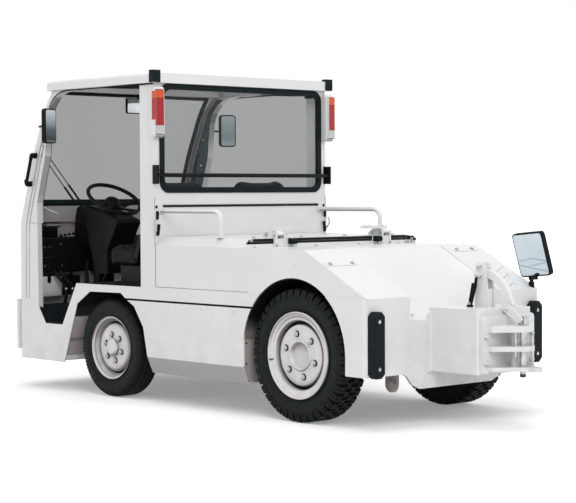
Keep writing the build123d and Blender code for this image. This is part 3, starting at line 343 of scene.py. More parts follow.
FINISHES = {plain_name(material): material for material in [
    enamel("body_paint", (0.77, 0.77, 0.775), (0.42, 0.4, 0.38), 0.35),
    dished_paint("wheel_paint"),
    cast_metal("chassis_paint", (0.03, 0.031, 0.033), 0.0, 0.55, 90.0, 0.001),
    cast_metal("axle_iron", (0.055, 0.054, 0.055), 0.2, 0.6, 140.0, 0.002),
    cast_metal("spring_steel", (0.05, 0.05, 0.052), 0.4, 0.5, 200.0, 0.001),
    cast_metal("bright_steel", (0.55, 0.54, 0.53), 1.0, 0.32, 260.0, 0.0004),
    moulded("black_trim", (0.0045, 0.006, 0.007), 0.5, 520.0, 0.0006),
    moulded("black_paint", (0.004, 0.005, 0.006), 0.36, 200.0, 0.0002),
    seat_cloth("seat_vinyl"),
    moulded("pad_rubber", (0.006, 0.01, 0.012), 0.6, 180.0, 0.001),
    # seam_grey: painted shade, the grey standing for the shadow in the grooves, joints and steps of the panels.
    finish("seam_grey", (0.22, 0.21, 0.205), 0.6, specular=0.1),
    moulded("inner_trim", (0.05, 0.068, 0.076), 0.5, 200.0, 0.0003),
    # inner_panel: a grey-brown that stands for the white paint of inner skins in shade; painted shade.
    finish("inner_panel", (0.4, 0.365, 0.355), 0.6, specular=0.1),
    pane("clear_glass", (0.2, 0.22, 0.22), 0.06),
    silvered("mirror_glass", (0.74, 0.82, 0.88)),
    lamp_colours("lamp_plastic"),
    arch_paint("liner_paint"),
]}


def dress_nodes():
    """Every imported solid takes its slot's finish."""
    for node, thing in nodes.items():
        for slot in thing.material_slots:
            kind = plain_name(slot.material)
            if kind in FINISHES:
                slot.material = FINISHES[kind]
            elif kind == "tyre_rubber":
                slot.material = tyre_rubber(node, REAR_WHEEL if "rear" in node else FRONT_WHEEL)


dress_nodes()


# Shapes -----

def at(x=0.0, y=0.0, z=0.0, rx=0, ry=0, rz=0):
    """A place and a turn in degrees, about X first."""
    turn = Matrix.Rotation(math.radians(rz), 4, "Z") @ Matrix.Rotation(math.radians(ry), 4, "Y")
    return Matrix.Translation((x, y, z)) @ turn @ Matrix.Rotation(math.radians(rx), 4, "X")


def rise_of(edge):
    """How far an edge goes up."""
    return abs(edge.verts[0].co.z - edge.verts[1].co.z)


def ease_edges(bm, ease, segments, edges=None):
    if ease:
        bmesh.ops.bevel(
            bm, geom=edges or bm.edges[:], offset=ease, affect="EDGES", segments=segments, profile=0.5, material=-1)
    return bm


def block(size, ease=0.0, segments=1):
    """A box with eased edges."""
    bm = bmesh.new()
    bmesh.ops.create_cube(bm, size=1.0, matrix=Matrix.Diagonal((*size, 1.0)))
    return ease_edges(bm, ease, segments)


def drum(radius, length, ease=0.0, sides=32):
    """A round or many-sided bar along Z, standing on z = 0."""
    bm = bmesh.new()
    bmesh.ops.create_cone(
        bm, cap_ends=True, segments=sides, radius1=radius, radius2=radius, depth=length,
        matrix=Matrix.Translation((0, 0, length / 2)))
    return ease_edges(bm, ease, 2, [e for e in bm.edges if rise_of(e) < HAIR])


def lathe(profile, sides=64, closed=True):
    """A half section of radius and height, turned full circle about Z."""
    bm = bmesh.new()
    verts = [bm.verts.new((r, 0.0, h)) for r, h in profile]
    ends = verts[1:] + verts[:1] if closed else verts[1:]
    edges = [bm.edges.new(pair) for pair in zip(verts, ends)]
    bmesh.ops.spin(
        bm, geom=verts + edges, axis=(0, 0, 1), cent=(0, 0, 0), dvec=(0, 0, 0), angle=2 * math.pi, steps=sides,
        use_merge=True)
    bmesh.ops.remove_doubles(bm, verts=bm.verts, dist=HAIR)
    bmesh.ops.recalc_face_normals(bm, faces=bm.faces)
    return bm


def plate(outline, thick, ease=0.0, segments=1):
    """A flat outline of x, y points given a thickness along Z."""
    bm = bmesh.new()
    face = bm.faces.new([bm.verts.new((x, y, 0.0)) for x, y in outline])
    raised = bmesh.ops.extrude_face_region(bm, geom=[face])["geom"]
    bmesh.ops.translate(bm, verts=[v for v in raised if isinstance(v, bmesh.types.BMVert)], vec=(0, 0, thick))
    bmesh.ops.recalc_face_normals(bm, faces=bm.faces)
    return ease_edges(bm, ease, segments)


def tube(points, radius, sides=3):
    """A round bar along a smooth line through control points."""
    line = bpy.data.curves.new("tube", "CURVE")
    line.dimensions = "3D"
    line.bevel_depth = radius
    line.bevel_resolution = sides
    line.resolution_u = 10
    line.use_fill_caps = True
    spline = line.splines.new("NURBS")
    spline.points.add(len(points) - 1)
    for spot, point in zip(spline.points, points):
        spot.co = (*point, 1.0)
    spline.order_u = 3
    spline.use_endpoint_u = True
    holder = bpy.data.objects.new("tube", line)
    mesh = bpy.data.meshes.new_from_object(holder)
    bm = bmesh.new()
    bm.from_mesh(mesh)
    bpy.data.objects.remove(holder)
    bpy.data.curves.remove(line)
    bpy.data.meshes.remove(mesh)
    bmesh.ops.recalc_face_normals(bm, faces=bm.faces)
    return bm


def bar(start, end, wide, deep, ease=0.0):
    """A straight strip between two points, its depth upright to the strip, and its place."""
    way = Vector(end) - Vector(start)
    turn = way.to_track_quat("X", "Z").to_matrix().to_4x4()
    middle = Matrix.Translation((Vector(start) + Vector(end)) / 2)
    return block((way.length, wide, deep), ease), middle @ turn


def merge(whole, part, place=Matrix(), kind=0, keep=False):
    """Joins a part to a shape; with keep, the part can be used again."""
    mesh = bpy.data.meshes.new("part")
    part.to_mesh(mesh)
    if not keep:
        part.free()
    mesh.transform(place)
    if place.determinant() < 0:
        mesh.flip_normals()
    mesh.polygons.foreach_set("material_index", [kind] * len(mesh.polygons))
    whole.from_mesh(mesh)
    bpy.data.meshes.remove(mesh)
    return whole


def hex_nut(across, height, stud):
    """A chamfered nut standing on z = 0, with the end of its stud."""
    nut = drum(across / HEXAGON, height, across * 0.05, 6)
    return merge(nut, drum(across * 0.3, height + stud, across * 0.06, 12))


def bolt(across, high):
    """A hexagon head on its washer, standing on z = 0."""
    head = drum(across / HEXAGON, high, across * 0.05, 6)
    return merge(head, drum(across * 0.72, high * 0.25, high * 0.06, 20))


def new_object(name, data):
    """An object in the scene, of a mesh, a lamp or a camera; a shape becomes a mesh and is used up."""
    if isinstance(data, bmesh.types.BMesh):
        shape, data = data, bpy.data.meshes.new(name)
        shape.to_mesh(data)
        shape.free()
    thing = bpy.data.objects.new(name, data)
    scene.collection.objects.link(thing)
    return thing


class Piece:
    """A piece under construction: parts join it one by one, each in its place and finish."""

    def __init__(self, name, body, *finishes):
        """A finish is named, or is one made for this piece alone."""
        self.name, self.body, self.bm = name, body, bmesh.new()
        self.finishes = [FINISHES.get(kind, kind) for kind in finishes]

    def add(self, part, place=Matrix(), kind=0, keep=False):
        merge(self.bm, part, place, kind, keep)

    def add_both(self, part, place=Matrix(), kind=0):
        """Joins a part and its mirror image on the right-hand side."""
        self.add(part, place, kind, keep=True)
        self.add(part, Matrix.Diagonal((1, -1, 1, 1)) @ place, kind)

    def blocks(self, *rows):
        """Joins boxes, each given as its size, ease, centre and finish."""
        for size, ease, centre, kind in rows:
            self.add(block(size, ease), at(*centre), kind)

    def done(self, slot):
        """The finished piece, riding on its body."""
        thing = new_object(self.name, self.bm)
        for kind in self.finishes:
            thing.data.materials.append(kind)
        thing.data.shade_smooth()
        thing.data.set_sharp_from_angle(angle=SHARP_ANGLE)
        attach(thing, self.body)
        return thing


# Wheels -----

REAR_SECTION = [  # radius, and how far out from the tyre's middle plane
    (0.232, 0.066), (0.24, 0.074), (0.246, 0.0775), (0.25, 0.0765), (0.254, 0.08), (0.27, 0.0875),
    (0.274, 0.0865), (0.278, 0.0895), (0.298, 0.094), (0.302, 0.0932), (0.306, 0.0943), (0.322, 0.0925),
    (0.334, 0.0895), (0.346, 0.0835), (0.354, 0.075), (0.357, 0.062),
]
REAR_LUG = [
    (0.352, 0.042), (0.3742, 0.042), (0.3742, 0.079), (0.3665, 0.0885), (0.346, 0.0935), (0.328, 0.0948),
    (0.326, 0.089), (0.35, 0.074),
]
REAR_ZIGZAG = [(-0.021, 0.004), (0.015, 0.004), (0.023, 0.021), (0.015, 0.038), (-0.021, 0.038), (-0.013, 0.021)]
FRONT_SECTION = [
    (0.186, 0.058), (0.194, 0.066), (0.2, 0.0695), (0.204, 0.0685), (0.208, 0.0715), (0.226, 0.0775),
    (0.23, 0.0765), (0.234, 0.079), (0.254, 0.0822), (0.258, 0.0812), (0.262, 0.0822), (0.274, 0.0808),
    (0.286, 0.0768), (0.296, 0.071), (0.3035, 0.063), (0.3062, 0.052), (0.3005, 0.0495), (0.3005, 0.0455),
    (0.3085, 0.043), (0.31, 0.021), (0.303, 0.0185), (0.303, 0.0145), (0.3105, 0.012),
]
FRONT_SIPE = [
    (0.3, 0.053), (0.3098, 0.053), (0.3078, 0.0655), (0.3, 0.0745), (0.288, 0.0792), (0.282, 0.0785),
    (0.292, 0.07),
]
REAR_RING = [
    (0.2445, 0.085), (0.245, 0.0915), (0.2425, 0.094), (0.2385, 0.0935), (0.236, 0.0885), (0.233, 0.085),
    (0.215, 0.082), (0.2115, 0.079), (0.206, 0.079), (0.198, 0.0765), (0.194, 0.069), (0.193, 0.04),
    (0.2, 0.04), (0.203, 0.064), (0.232, 0.074),
]
REAR_DISC = [
    (0.0, 0.044), (0.05, 0.0455), (0.066, 0.054), (0.073, 0.069), (0.077, 0.0745), (0.082, 0.075),
    (0.0865, 0.0725), (0.09, 0.0675), (0.13, 0.0675), (0.16, 0.066), (0.17, 0.062), (0.175, 0.054),
    (0.176, 0.026), (0.0, 0.024),
]
FRONT_DISC = [
    (0.056, 0.056), (0.064, 0.0545), (0.1, 0.055), (0.132, 0.053), (0.145, 0.049), (0.152, 0.041),
    (0.153, 0.02), (0.056, 0.02),
]


def onto_axle(piece, axle, middle, side, slot):
    """Finishes a piece made with +Z outward, turned onto its axle."""
    place = at(axle[0], side * middle, axle[1], rx=-90.0 * side)
    bmesh.ops.transform(piece.bm, matrix=place, verts=piece.bm.verts)
    bmesh.ops.recalc_face_normals(piece.bm, faces=piece.bm.faces)
    return piece.done(slot)


def tyre(name, axle, middle, side, half_section, sides, count, tread):
    """A ringed carcass with its tread: each part of it stands round both shoulders, half a step apart."""
    piece = Piece(name, "wheel_" + name[5:], tyre_rubber(name + "_rubber", axle))
    piece.add(lathe(half_section + [(r, -h) for r, h in reversed(half_section)], sides))
    for step in range(count):
        for row, shift in ((1, 0.0), (-1, 0.5)):
            turn = at(rz=(step + shift) * 360.0 / count) @ Matrix.Diagonal((1, 1, row, 1))
            for part, place in tread:
                piece.add(part, turn @ place, keep=True)
    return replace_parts(onto_axle(piece, axle, middle, side, "tyre_rubber"), name)


def wheel_nuts(name, axle, middle, side, face, ring):
    """Six nuts on their studs round the hub, each on a washer ring painted black as shade round the nut."""
    nuts = Piece(name, "wheel_" + name[5:], "wheel_paint", "black_paint")
    nut = hex_nut(0.027, 0.014, 0.007)
    # Painted shade: a black ring under each nut.
    shade_ring = [(0.0115, -0.001), (0.0195, -0.001), (0.019, 0.0015), (0.0165, 0.003), (0.0115, 0.003)]
    seat = lathe(shade_ring, 24)
    for count in range(WHEEL_NUTS):
        spot = at(rz=FIRST_NUT + count * 360.0 / WHEEL_NUTS) @ at(x=ring, z=face)
        nuts.add(seat, spot, 1, keep=True)
        nuts.add(nut, spot @ at(rz=count * 17.0), keep=True)
    return onto_axle(nuts, axle, middle, side, "wheel_paint")


def wheel_face(name, axle, middle, side, disc, gap):
    """The pressed disc inside a wheel's lip and the gap round it, with a black ring at its bottom as painted shade;
    the rear wheels have a split lock ring too.
    """
    face = Piece(name, "wheel_" + name[5:], "wheel_paint", "black_trim")
    face.add(lathe(disc, 96, closed=disc[0][0] > 0.0))
    inner, outer, depth = gap
    # Painted shade: a black ring at the bottom of the gap between disc and rim.
    face.add(lathe([(inner, depth), (outer, depth), (outer, depth - 0.003), (inner, depth - 0.003)], 96), kind=1)
    if axle == REAR_WHEEL:
        face.add(lathe(REAR_RING, 120))
        face.add(block((0.035, 0.005, 0.005), 0.0005), at(rz=9) @ at(0.2255, 0, 0.0875, ry=-7), 1)
    return onto_axle(face, axle, middle, side, "wheel_paint")


def wheels():
    """Tyres, wheel faces and nuts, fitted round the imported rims."""
    blade, turn_up = plate(REAR_LUG, 0.0175), at(rx=90)
    zigzag = plate(REAR_ZIGZAG, 0.0185, 0.0015)
    lugs = [
        (blade, at(y=-0.002) @ turn_up), (blade, at(y=0.019) @ turn_up),
        (zigzag, at(0.3555, ry=90) @ at(rz=270)),
    ]
    sipes = [(plate(FRONT_SIPE, 0.0125), at(y=0.00625) @ turn_up)]
    for name, side in (("left", 1), ("right", -1)):
        rear, front = (REAR_WHEEL, REAR_MIDDLE, side), (FRONT_WHEEL, FRONT_MIDDLE, side)
        wheel_face("face_rear_" + name, *rear, REAR_DISC, (0.15, 0.2, 0.034))
        wheel_face("face_front_" + name, *front, FRONT_DISC, (0.15, 0.17, 0.0285))
        tyre("tyre_rear_" + name, *rear, REAR_SECTION, 120, LUGS, lugs)
        tyre("tyre_front_" + name, *front, FRONT_SECTION, 112, SIPES, sipes)
        wheel_nuts("nuts_rear_" + name, *rear, 0.068, 0.122)
        wheel_nuts("nuts_front_" + name, *front, 0.0552, 0.084)


# Seats -----

def apply_modifiers(thing):
    """Fixes what the modifiers show into the mesh."""
    depsgraph = bpy.context.evaluated_depsgraph_get()
    shown = bpy.data.meshes.new_from_object(thing.evaluated_get(depsgraph))
    thing.modifiers.clear()
    old = thing.data
    thing.data = shown
    shown.name = thing.name
    bpy.data.meshes.remove(old)


def stuffed(name, shape):
    """A sewn pad: the cut shape, swollen by its filling and held within SWELL."""
    pad = new_object(name, shape)
    remesh = pad.modifiers.new("cut", "REMESH")
    remesh.mode = "VOXEL"
    remesh.voxel_size = CLOTH_GRID
    apply_modifiers(pad)
    rest = [v.co.copy() for v in pad.data.vertices]
    cloth = pad.modifiers.new("filling", "CLOTH")
    cloth.collision_settings.use_collision = False
    filling = cloth.settings
    filling.use_pressure = True
    filling.uniform_pressure_force = 4.0
    filling.quality = 5
    filling.effector_weights.gravity = 0.0
    for step in range(1, CLOTH_FRAMES + 1):
        scene.frame_set(step)
    apply_modifiers(pad)
    for vert, start in zip(pad.data.vertices, rest):
        move = vert.co - start
        if move.length > SWELL:
            vert.co = start + move * (SWELL / move.length)
    scene.frame_set(1)
    smooth = pad.modifiers.new("smooth", "SUBSURF")
    smooth.levels = smooth.render_levels = 1
    apply_modifiers(pad)
    return pad


def seat_pad(name, size, place):
    """One cushion or back: a crowned pad with rounded corners."""
    bm = block(size)
    ease_edges(bm, 0.075, 5, [e for e in bm.edges if rise_of(e) > 0.01])
    rims = [e for e in bm.edges if abs(abs(e.verts[0].co.z) - size[2] / 2) < 1e-5 and rise_of(e) < 1e-5]
    ease_edges(bm, 0.022, 3, rims)
    bmesh.ops.transform(bm, matrix=place, verts=bm.verts)
    pad = stuffed(name, bm)
    pad.data.materials.append(FINISHES["seat_vinyl"])
    pad.data.shade_smooth()
    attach(pad, "chassis")
    return pad


def seats():
    for name, y in (("left", SEAT_MIDDLE), ("right", -SEAT_MIDDLE)):
        cushion = seat_pad("seat_cushion_" + name, (0.336, 0.46, 0.1), at(0.959, y, 0.882))
        back = seat_pad("seat_back_" + name, (0.415, 0.455, 0.076), at(0.7085, y, 1.166, ry=-104))
        if name == "left":
            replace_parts(cushion, "seat_cushions")
            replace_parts(back, "seat_backs")


wheels()
seats()


# Cab fittings -----

SCREEN = [(1.924, 1.04), (1.911, 1.108), (1.768, 1.536), (1.625, 1.85), (1.549, 1.948)]  # x, z down the middle


def screen_x(z):
    """How far forward the windscreen and its pillars stand at a height."""
    for (x0, z0), (x1, z1) in zip(SCREEN, SCREEN[1:]):
        if z <= z1:
            return x0 + (x1 - x0) * max(z - z0, 0.0) / (z1 - z0)
    return SCREEN[-1][0]


def pillar_trim():
    """Drip rubber under the roof, beads down the front corners, the joint above the nose and the inner lining."""
    trim = Piece("pillar_trim", "chassis", "body_paint", "pad_rubber", "seam_grey")
    for behind, top in ((0.108, 1.74), (0.143, 1.6)):
        heights = [z for z in (0.59, 0.8, 1.03, 1.1, 1.2, 1.32, 1.44, 1.54) if z < top] + [top]
        trim.add_both(tube([(screen_x(z) - behind, 0.7145, z) for z in heights], 0.005))
        # Fine grey lines beside the beads: painted shade of the pressed grooves.
        trim.add_both(tube([(screen_x(z) - behind - 0.009, 0.7142, z) for z in heights], 0.0022, 2), kind=2)
    drip = [
        (0.435, 0.7165, 1.9445), (0.9, 0.7165, 1.9445), (1.3, 0.7165, 1.9445), (1.385, 0.7165, 1.94),
        (1.455, 0.7165, 1.916), (1.505, 0.7155, 1.876), (1.545, 0.7125, 1.818), (1.575, 0.711, 1.74),
        (1.598, 0.7125, 1.64), (1.622, 0.7135, 1.52),
    ]
    trim.add_both(tube(drip, 0.0042), kind=1)
    # The joint above the nose, drawn as a grey line: painted shade of its groove.
    joint = [(1.68, 0.7148, 1.0895), (1.845, 0.7148, 1.0895), (1.905, 0.7, 1.0895), (1.9155, 0.64, 1.0895)]
    trim.add_both(tube(joint, 0.0016, 2), kind=2)
    trim.add(tube([(1.9155, 0.64, 1.0895), (1.9155, 0.0, 1.0895), (1.9155, -0.64, 1.0895)], 0.0016, 2), kind=2)
    trim.done("body_paint")
    lining = Piece("pillar_lining", "chassis", "inner_trim", "bright_steel")
    edge = [
        (1.405, 1.935), (1.462, 1.902), (1.519, 1.846), (1.554, 1.776), (1.58, 1.53), (1.664, 1.27),
        (1.69, 1.1),
    ]
    outline = edge + [(screen_x(z) - 0.052, z) for z in (1.1, 1.32, 1.536, 1.7, 1.85, 1.935)]
    lining.add_both(plate(outline, 0.005, 0.001), at(0, 0.6695, 0, rx=90))
    for x, z in ((1.648, 1.48), (1.71, 1.25), (1.62, 1.66)):
        lining.add_both(drum(0.008, 0.004, 0.001, 12), at(x, 0.6645, z, rx=90), 1)
    lining.done("black_trim")


def windscreen_fittings():
    """The screen's rubber, its wiper on twin arms and the mirror hung inside it."""
    screen = Piece("screen_rubber", "chassis", "pad_rubber")
    low, high = 1.205, 1.94
    for x_in, size in ((0.012, 0.011), (0.03, 0.009)):
        screen.add_both(tube([(screen_x(z) - x_in, 0.628, z) for z in (low, 1.36, 1.536, 1.7, 1.85, high)], size))
        for z in (low, high):
            screen.add(tube([(screen_x(z) - x_in, y, z) for y in (0.63, 0.0, -0.63)], size))
    screen.add(block((0.02, 1.28, 0.034), 0.004), at(screen_x(1.226) - 0.036, 0, 1.226))
    screen.done("pad_rubber")
    wiper = Piece("wiper", "chassis", "black_paint")
    for y, tip_z in ((0.215, 1.552), (0.263, 1.512)):
        root = (screen_x(1.235) + 0.014, y, 1.222)
        tip = (screen_x(tip_z) + 0.01, 0.572, tip_z)
        near = tuple(r + (t - r) * 0.36 for r, t in zip(root, tip))
        wiper.add(tube([root, near], 0.0078, 2))
        wiper.add(tube([near, tip], 0.0034, 2))
        wiper.add(drum(0.017, 0.026, 0.003, 16), at(root[0] - 0.014, root[1], root[2], ry=72))
    blade = [(screen_x(z) + 0.006, 0.58 + 0.02 * (1.55 - z), z) for z in (1.3, 1.42, 1.545, 1.66, 1.745)]
    wiper.add(tube(blade, 0.0052, 2))
    wiper.add(block((0.016, 0.016, 0.06), 0.003), at(screen_x(1.53) + 0.01, 0.575, 1.53, ry=-18))
    wiper.done("black_paint")
    inner = Piece("inner_mirror", "chassis", "mirror_glass", "black_trim")
    face = at(1.5, 0.0, 1.872, rz=9)
    inner.add(block((0.018, 0.236, 0.104), 0.008, 3), face @ at(0.0105), 1)
    inner.add(block((0.003, 0.222, 0.09), 0.001), face)
    inner.add(tube([(1.512, -0.01, 1.915), (1.52, -0.01, 1.94), (1.545, -0.01, 1.957)], 0.008), kind=1)
    inner.done("mirror_glass")


def headliner():
    """The dark trim strip, cross rod and side wedges under the roof."""
    lining = Piece("headliner", "chassis", "black_trim", "black_paint")
    lining.add(block((0.24, 1.34, 0.024), 0.006, 2), at(0.575, 0, 1.96))
    lining.add(drum(0.012, 1.36, 0.002, 14), at(0.715, 0.68, 1.958, rx=90), 1)
    wedge = [(0.455, 1.9485), (1.06, 1.9485), (0.7, 1.926), (0.575, 1.922), (0.575, 1.905), (0.455, 1.905)]
    for y in (0.678, -0.668):
        lining.add(plate(wedge, 0.01, 0.002), at(0, y, 0, rx=90))
    lining.done("black_trim")


def grips():
    """The outer grips' rounded bends and an inner grip on the right pillar."""
    rail = Piece("grip_bends", "chassis", "black_paint")
    for z, lift in ((1.356, -1), (1.524, 1)):
        x = 1.706 + (1.44 - z) * 0.345
        bend = ((0.762, -0.02), (0.76, 0.012), (0.742, 0.016), (0.712, 0.014))
        rail.add_both(tube([(x, y, z + lift * up) for y, up in bend], 0.0125))
    inside = [
        (1.64, -0.64, 1.555), (1.618, -0.61, 1.548), (1.635, -0.6, 1.47), (1.66, -0.602, 1.345),
        (1.69, -0.64, 1.335),
    ]
    rail.add(tube(inside, 0.01))
    rail.done("black_paint")


def binnacle():
    """The dashboard pod round the column, its lower knee guard, stalks and switches."""
    pod = Piece("binnacle", "chassis", "black_trim", "black_paint", "bright_steel")
    outline = [
        (1.47, 1.176), (1.505, 1.19), (1.7, 1.206), (1.752, 1.19), (1.77, 1.12), (1.78, 0.99),
        (1.7, 0.95), (1.59, 0.912), (1.48, 0.95), (1.43, 1.06),
    ]
    pod.add(plate(outline, 0.17, 0.016, 3), at(0, 0.35, 0, rx=90))
    guard = [
        (1.392, 0.906), (1.56, 0.903), (1.752, 0.925), (1.756, 0.8), (1.7, 0.735), (1.57, 0.742),
        (1.45, 0.8),
    ]
    pod.add(plate(guard, 0.14, 0.014, 3), at(0, 0.262, 0, rx=90), 1)
    for x, z in ((1.6, 0.99), (1.6, 1.1), (1.7, 1.06)):
        pod.add(drum(0.011, 0.006, 0.002, 14), at(x, 0.35, z, rx=-90), 1)
    pod.add(block((0.06, 0.006, 0.034), 0.002), at(1.64, 0.351, 1.15, ry=12), 1)
    for stalk, radius, kind in [
        ([(1.36, 0.38, 1.15), (1.375, 0.48, 1.19), (1.37, 0.545, 1.205)], 0.0065, 1),
        ([(1.36, 0.32, 1.15), (1.385, 0.215, 1.195), (1.39, 0.16, 1.212)], 0.0065, 1),
        ([(1.735, 0.505, 1.15), (1.762, 0.56, 1.17), (1.79, 0.61, 1.205)], 0.005, 2),
    ]:
        pod.add(tube(stalk, radius), kind=kind)
    pod.add(drum(0.011, 0.026, 0.006, 16), at(1.785, 0.602, 1.196, rx=-40, ry=30), 1)
    pod.done("black_trim")


def dash_fittings():
    """Slot, screws and switches on the dash box, the relay unit on top and the heater box with its strap."""
    dash = Piece("dash_fittings", "chassis", "black_paint", "bright_steel", "body_paint", "black_trim", "inner_panel")
    dash.blocks(
        ((0.006, 0.226, 0.007), 0.001, (1.7585, 0.536, 0.854), 3),
        ((0.003, 0.222, 0.002), 0.0, (1.7555, 0.536, 0.8565), 1),
        ((0.06, 0.12, 0.016), 0.004, (1.825, 0.5, 1.066), 1),
        ((0.004, 0.03, 0.048), 0.002, (1.773, 0.557, 0.716), 0),
        ((0.01, 0.02, 0.01), 0.002, (1.772, 0.557, 0.69), 0),
        ((0.01, 0.13, 0.06), 0.003, (1.7575, -0.2, 0.905), 3),
        ((0.01, 0.13, 0.06), 0.003, (1.7575, -0.42, 0.905), 3),
        # Inner skins behind the dash, grey-brown as painted shade of their white paint.
        ((0.004, 1.24, 0.114), 0.001, (1.858, 0, 1.15), 4),
        ((0.004, 0.56, 0.16), 0.001, (1.9, 0.35, 1.04), 4),
        *[((0.01, 0.02, 0.016), 0.002, (1.8, 0.44 - n * 0.034, 1.0 + 0.004 * n), 0) for n in range(5)],
    )
    for y, z in ((0.6, 0.925), (0.47, 0.945), (0.6, 0.8), (0.56, 0.925), (0.46, 0.8)):
        dash.add(drum(0.008, 0.004, 0.001, 12), at(1.76, y, z, ry=-90), 1)
    dash.add(block((0.08, 0.18, 0.07), 0.008, 2), at(1.83, 0.56, 1.024))
    dash.add(block((0.14, 0.212, 0.136), 0.006, 2), at(1.845, 0.556, 0.662), 2)
    dash.add(drum(0.024, 0.06, 0.004, 20), at(1.82, 0.64, 0.99))
    dash.done("black_paint")


def floor_fittings():
    """Rubber mats, the sill trim at each door, the bent pipes by the pedals and below the seats."""
    mats = Piece("floor_mats", "chassis", "pad_rubber", "black_paint")
    mats.blocks(
        ((0.195, 1.4, 0.008), 0.002, (1.51, 0, 0.4385), 0),
        ((0.56, 1.32, 0.006), 0.002, (0.885, 0, 0.712), 0),
        *[((0.006, 1.34, 0.004), 0.001, (1.436 + step * 0.022, 0, 0.4435), 0) for step in range(7)],
    )
    mats.add(*bar((1.606, 0.0, 0.441), (1.69, 0.0, 0.552), 1.4, 0.01))
    sill = [(1.404, 0.7, 0.436), (1.596, 0.7, 0.436), (1.668, 0.7, 0.536)]
    for start, end in zip(sill, sill[1:]):
        mats.add_both(*bar(start, end, 0.02, 0.01, 0.002), 1)
    mats.done("pad_rubber")
    pipes = Piece("bent_pipes", "chassis", "black_paint", "bright_steel")
    run = [
        (0.045, 0.04, 0.77), (0.02, 0.01, 0.715), (0, -0.03, 0.66), (0.005, -0.03, 0.56), (0.05, -0.02, 0.47),
    ]
    for x, y in ((1.7, 0.5), (1.69, 0.455)):
        pipes.add(tube([(x + dx, y + dy, z) for dx, dy, z in run], 0.0125))
        pipes.add(drum(0.0145, 0.012, 0.002, 16), at(x + 0.002, y - 0.03, 0.64), 1)
    hook = [(0.405, 0.835), (0.402, 0.8), (0.4, 0.755), (0.4, 0.69), (0.4, 0.64)]
    for x, lean in ((1.317, 0.067), (1.56, 0.012)):
        shifts = (-0.02, 0.0, lean * 0.4, lean, lean)
        pipes.add(tube([(x + shift, y, z) for shift, (y, z) in zip(shifts, hook)], 0.012))
    pipes.done("black_paint")


def helm():
    """The steering wheel: gripped rim, dished spokes, domed horn pad and ribbed collar on its shaft."""
    wheel = Piece("helm", "steering_wheel", "black_trim", "black_paint", "bright_steel")
    column = at(1.321, 0.35, 1.245, ry=-32)
    rim, thick = 0.1785, 0.0125
    turns = [step * math.pi / 6 for step in range(12)]
    wheel.add(lathe([(rim + thick * math.cos(a), thick * math.sin(a)) for a in turns], 72), column)
    grip, grips_round = drum(0.0135, 0.01, 0.003, 10), 48
    for step in range(grips_round):
        wheel.add(grip, column @ at(rz=step * 360.0 / grips_round) @ at(x=rim, y=0.005, rx=90), 1, keep=True)
    dome = [
        (0.0, 0.006), (0.022, 0.004), (0.04, -0.003), (0.052, -0.016), (0.056, -0.034), (0.056, -0.052),
        (0.04, -0.06), (0.0, -0.06),
    ]
    wheel.add(lathe(dome, 40, closed=False), column)
    for angle, wide in ((95.0, 0.024), (212.0, 0.03), (258.0, 0.03)):
        for start, end in (((0.04, 0, -0.044), (0.095, 0, -0.03)), ((0.092, 0, -0.031), (0.172, 0, -0.002))):
            spoke, place = bar(start, end, wide, 0.013, 0.004)
            wheel.add(spoke, column @ at(rz=angle) @ place)
    for step in range(5):
        wheel.add(drum(0.047 - step * 0.002, 0.006, 0.0015, 28), column @ at(z=-0.068 - step * 0.009), 1)
    wheel.add(drum(0.0135, 0.09, 0.001, 20), column @ at(z=-0.15), 2)
    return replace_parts(wheel.done("black_trim"), "steering_wheel")


def seat_hardware():
    """Slide rails, a hinge arm with its bolt each side of the seats, and the belts with their buckles."""
    steel = Piece("seat_hardware", "chassis", "black_paint", "seat_vinyl")
    for y in (SEAT_MIDDLE, -SEAT_MIDDLE):
        for side in (1, -1):
            out = y + side * 0.235
            steel.add(block((0.33, 0.012, 0.022), 0.002), at(0.86, y + side * 0.17, 0.826))
            steel.add(*bar((0.8, out, 0.85), (0.735, out, 1.01), 0.008, 0.04, 0.002))
            steel.add(bolt(0.02, 0.006), at(0.8, y + side * 0.24, 0.866, rx=-90.0 * side))
        belt = [(0.76, y - 0.2, 0.86), (0.8, y - 0.215, 0.955), (0.92, y - 0.19, 0.964), (0.98, y - 0.12, 0.96)]
        for shift in (0.0, 0.012, 0.024):
            steel.add(tube([(px, py + shift, pz) for px, py, pz in belt], 0.0035, 2), kind=1)
        steel.add(block((0.03, 0.05, 0.014), 0.004), at(0.97, y - 0.1, 0.964))
    steel.done("black_paint")


# Body fittings -----

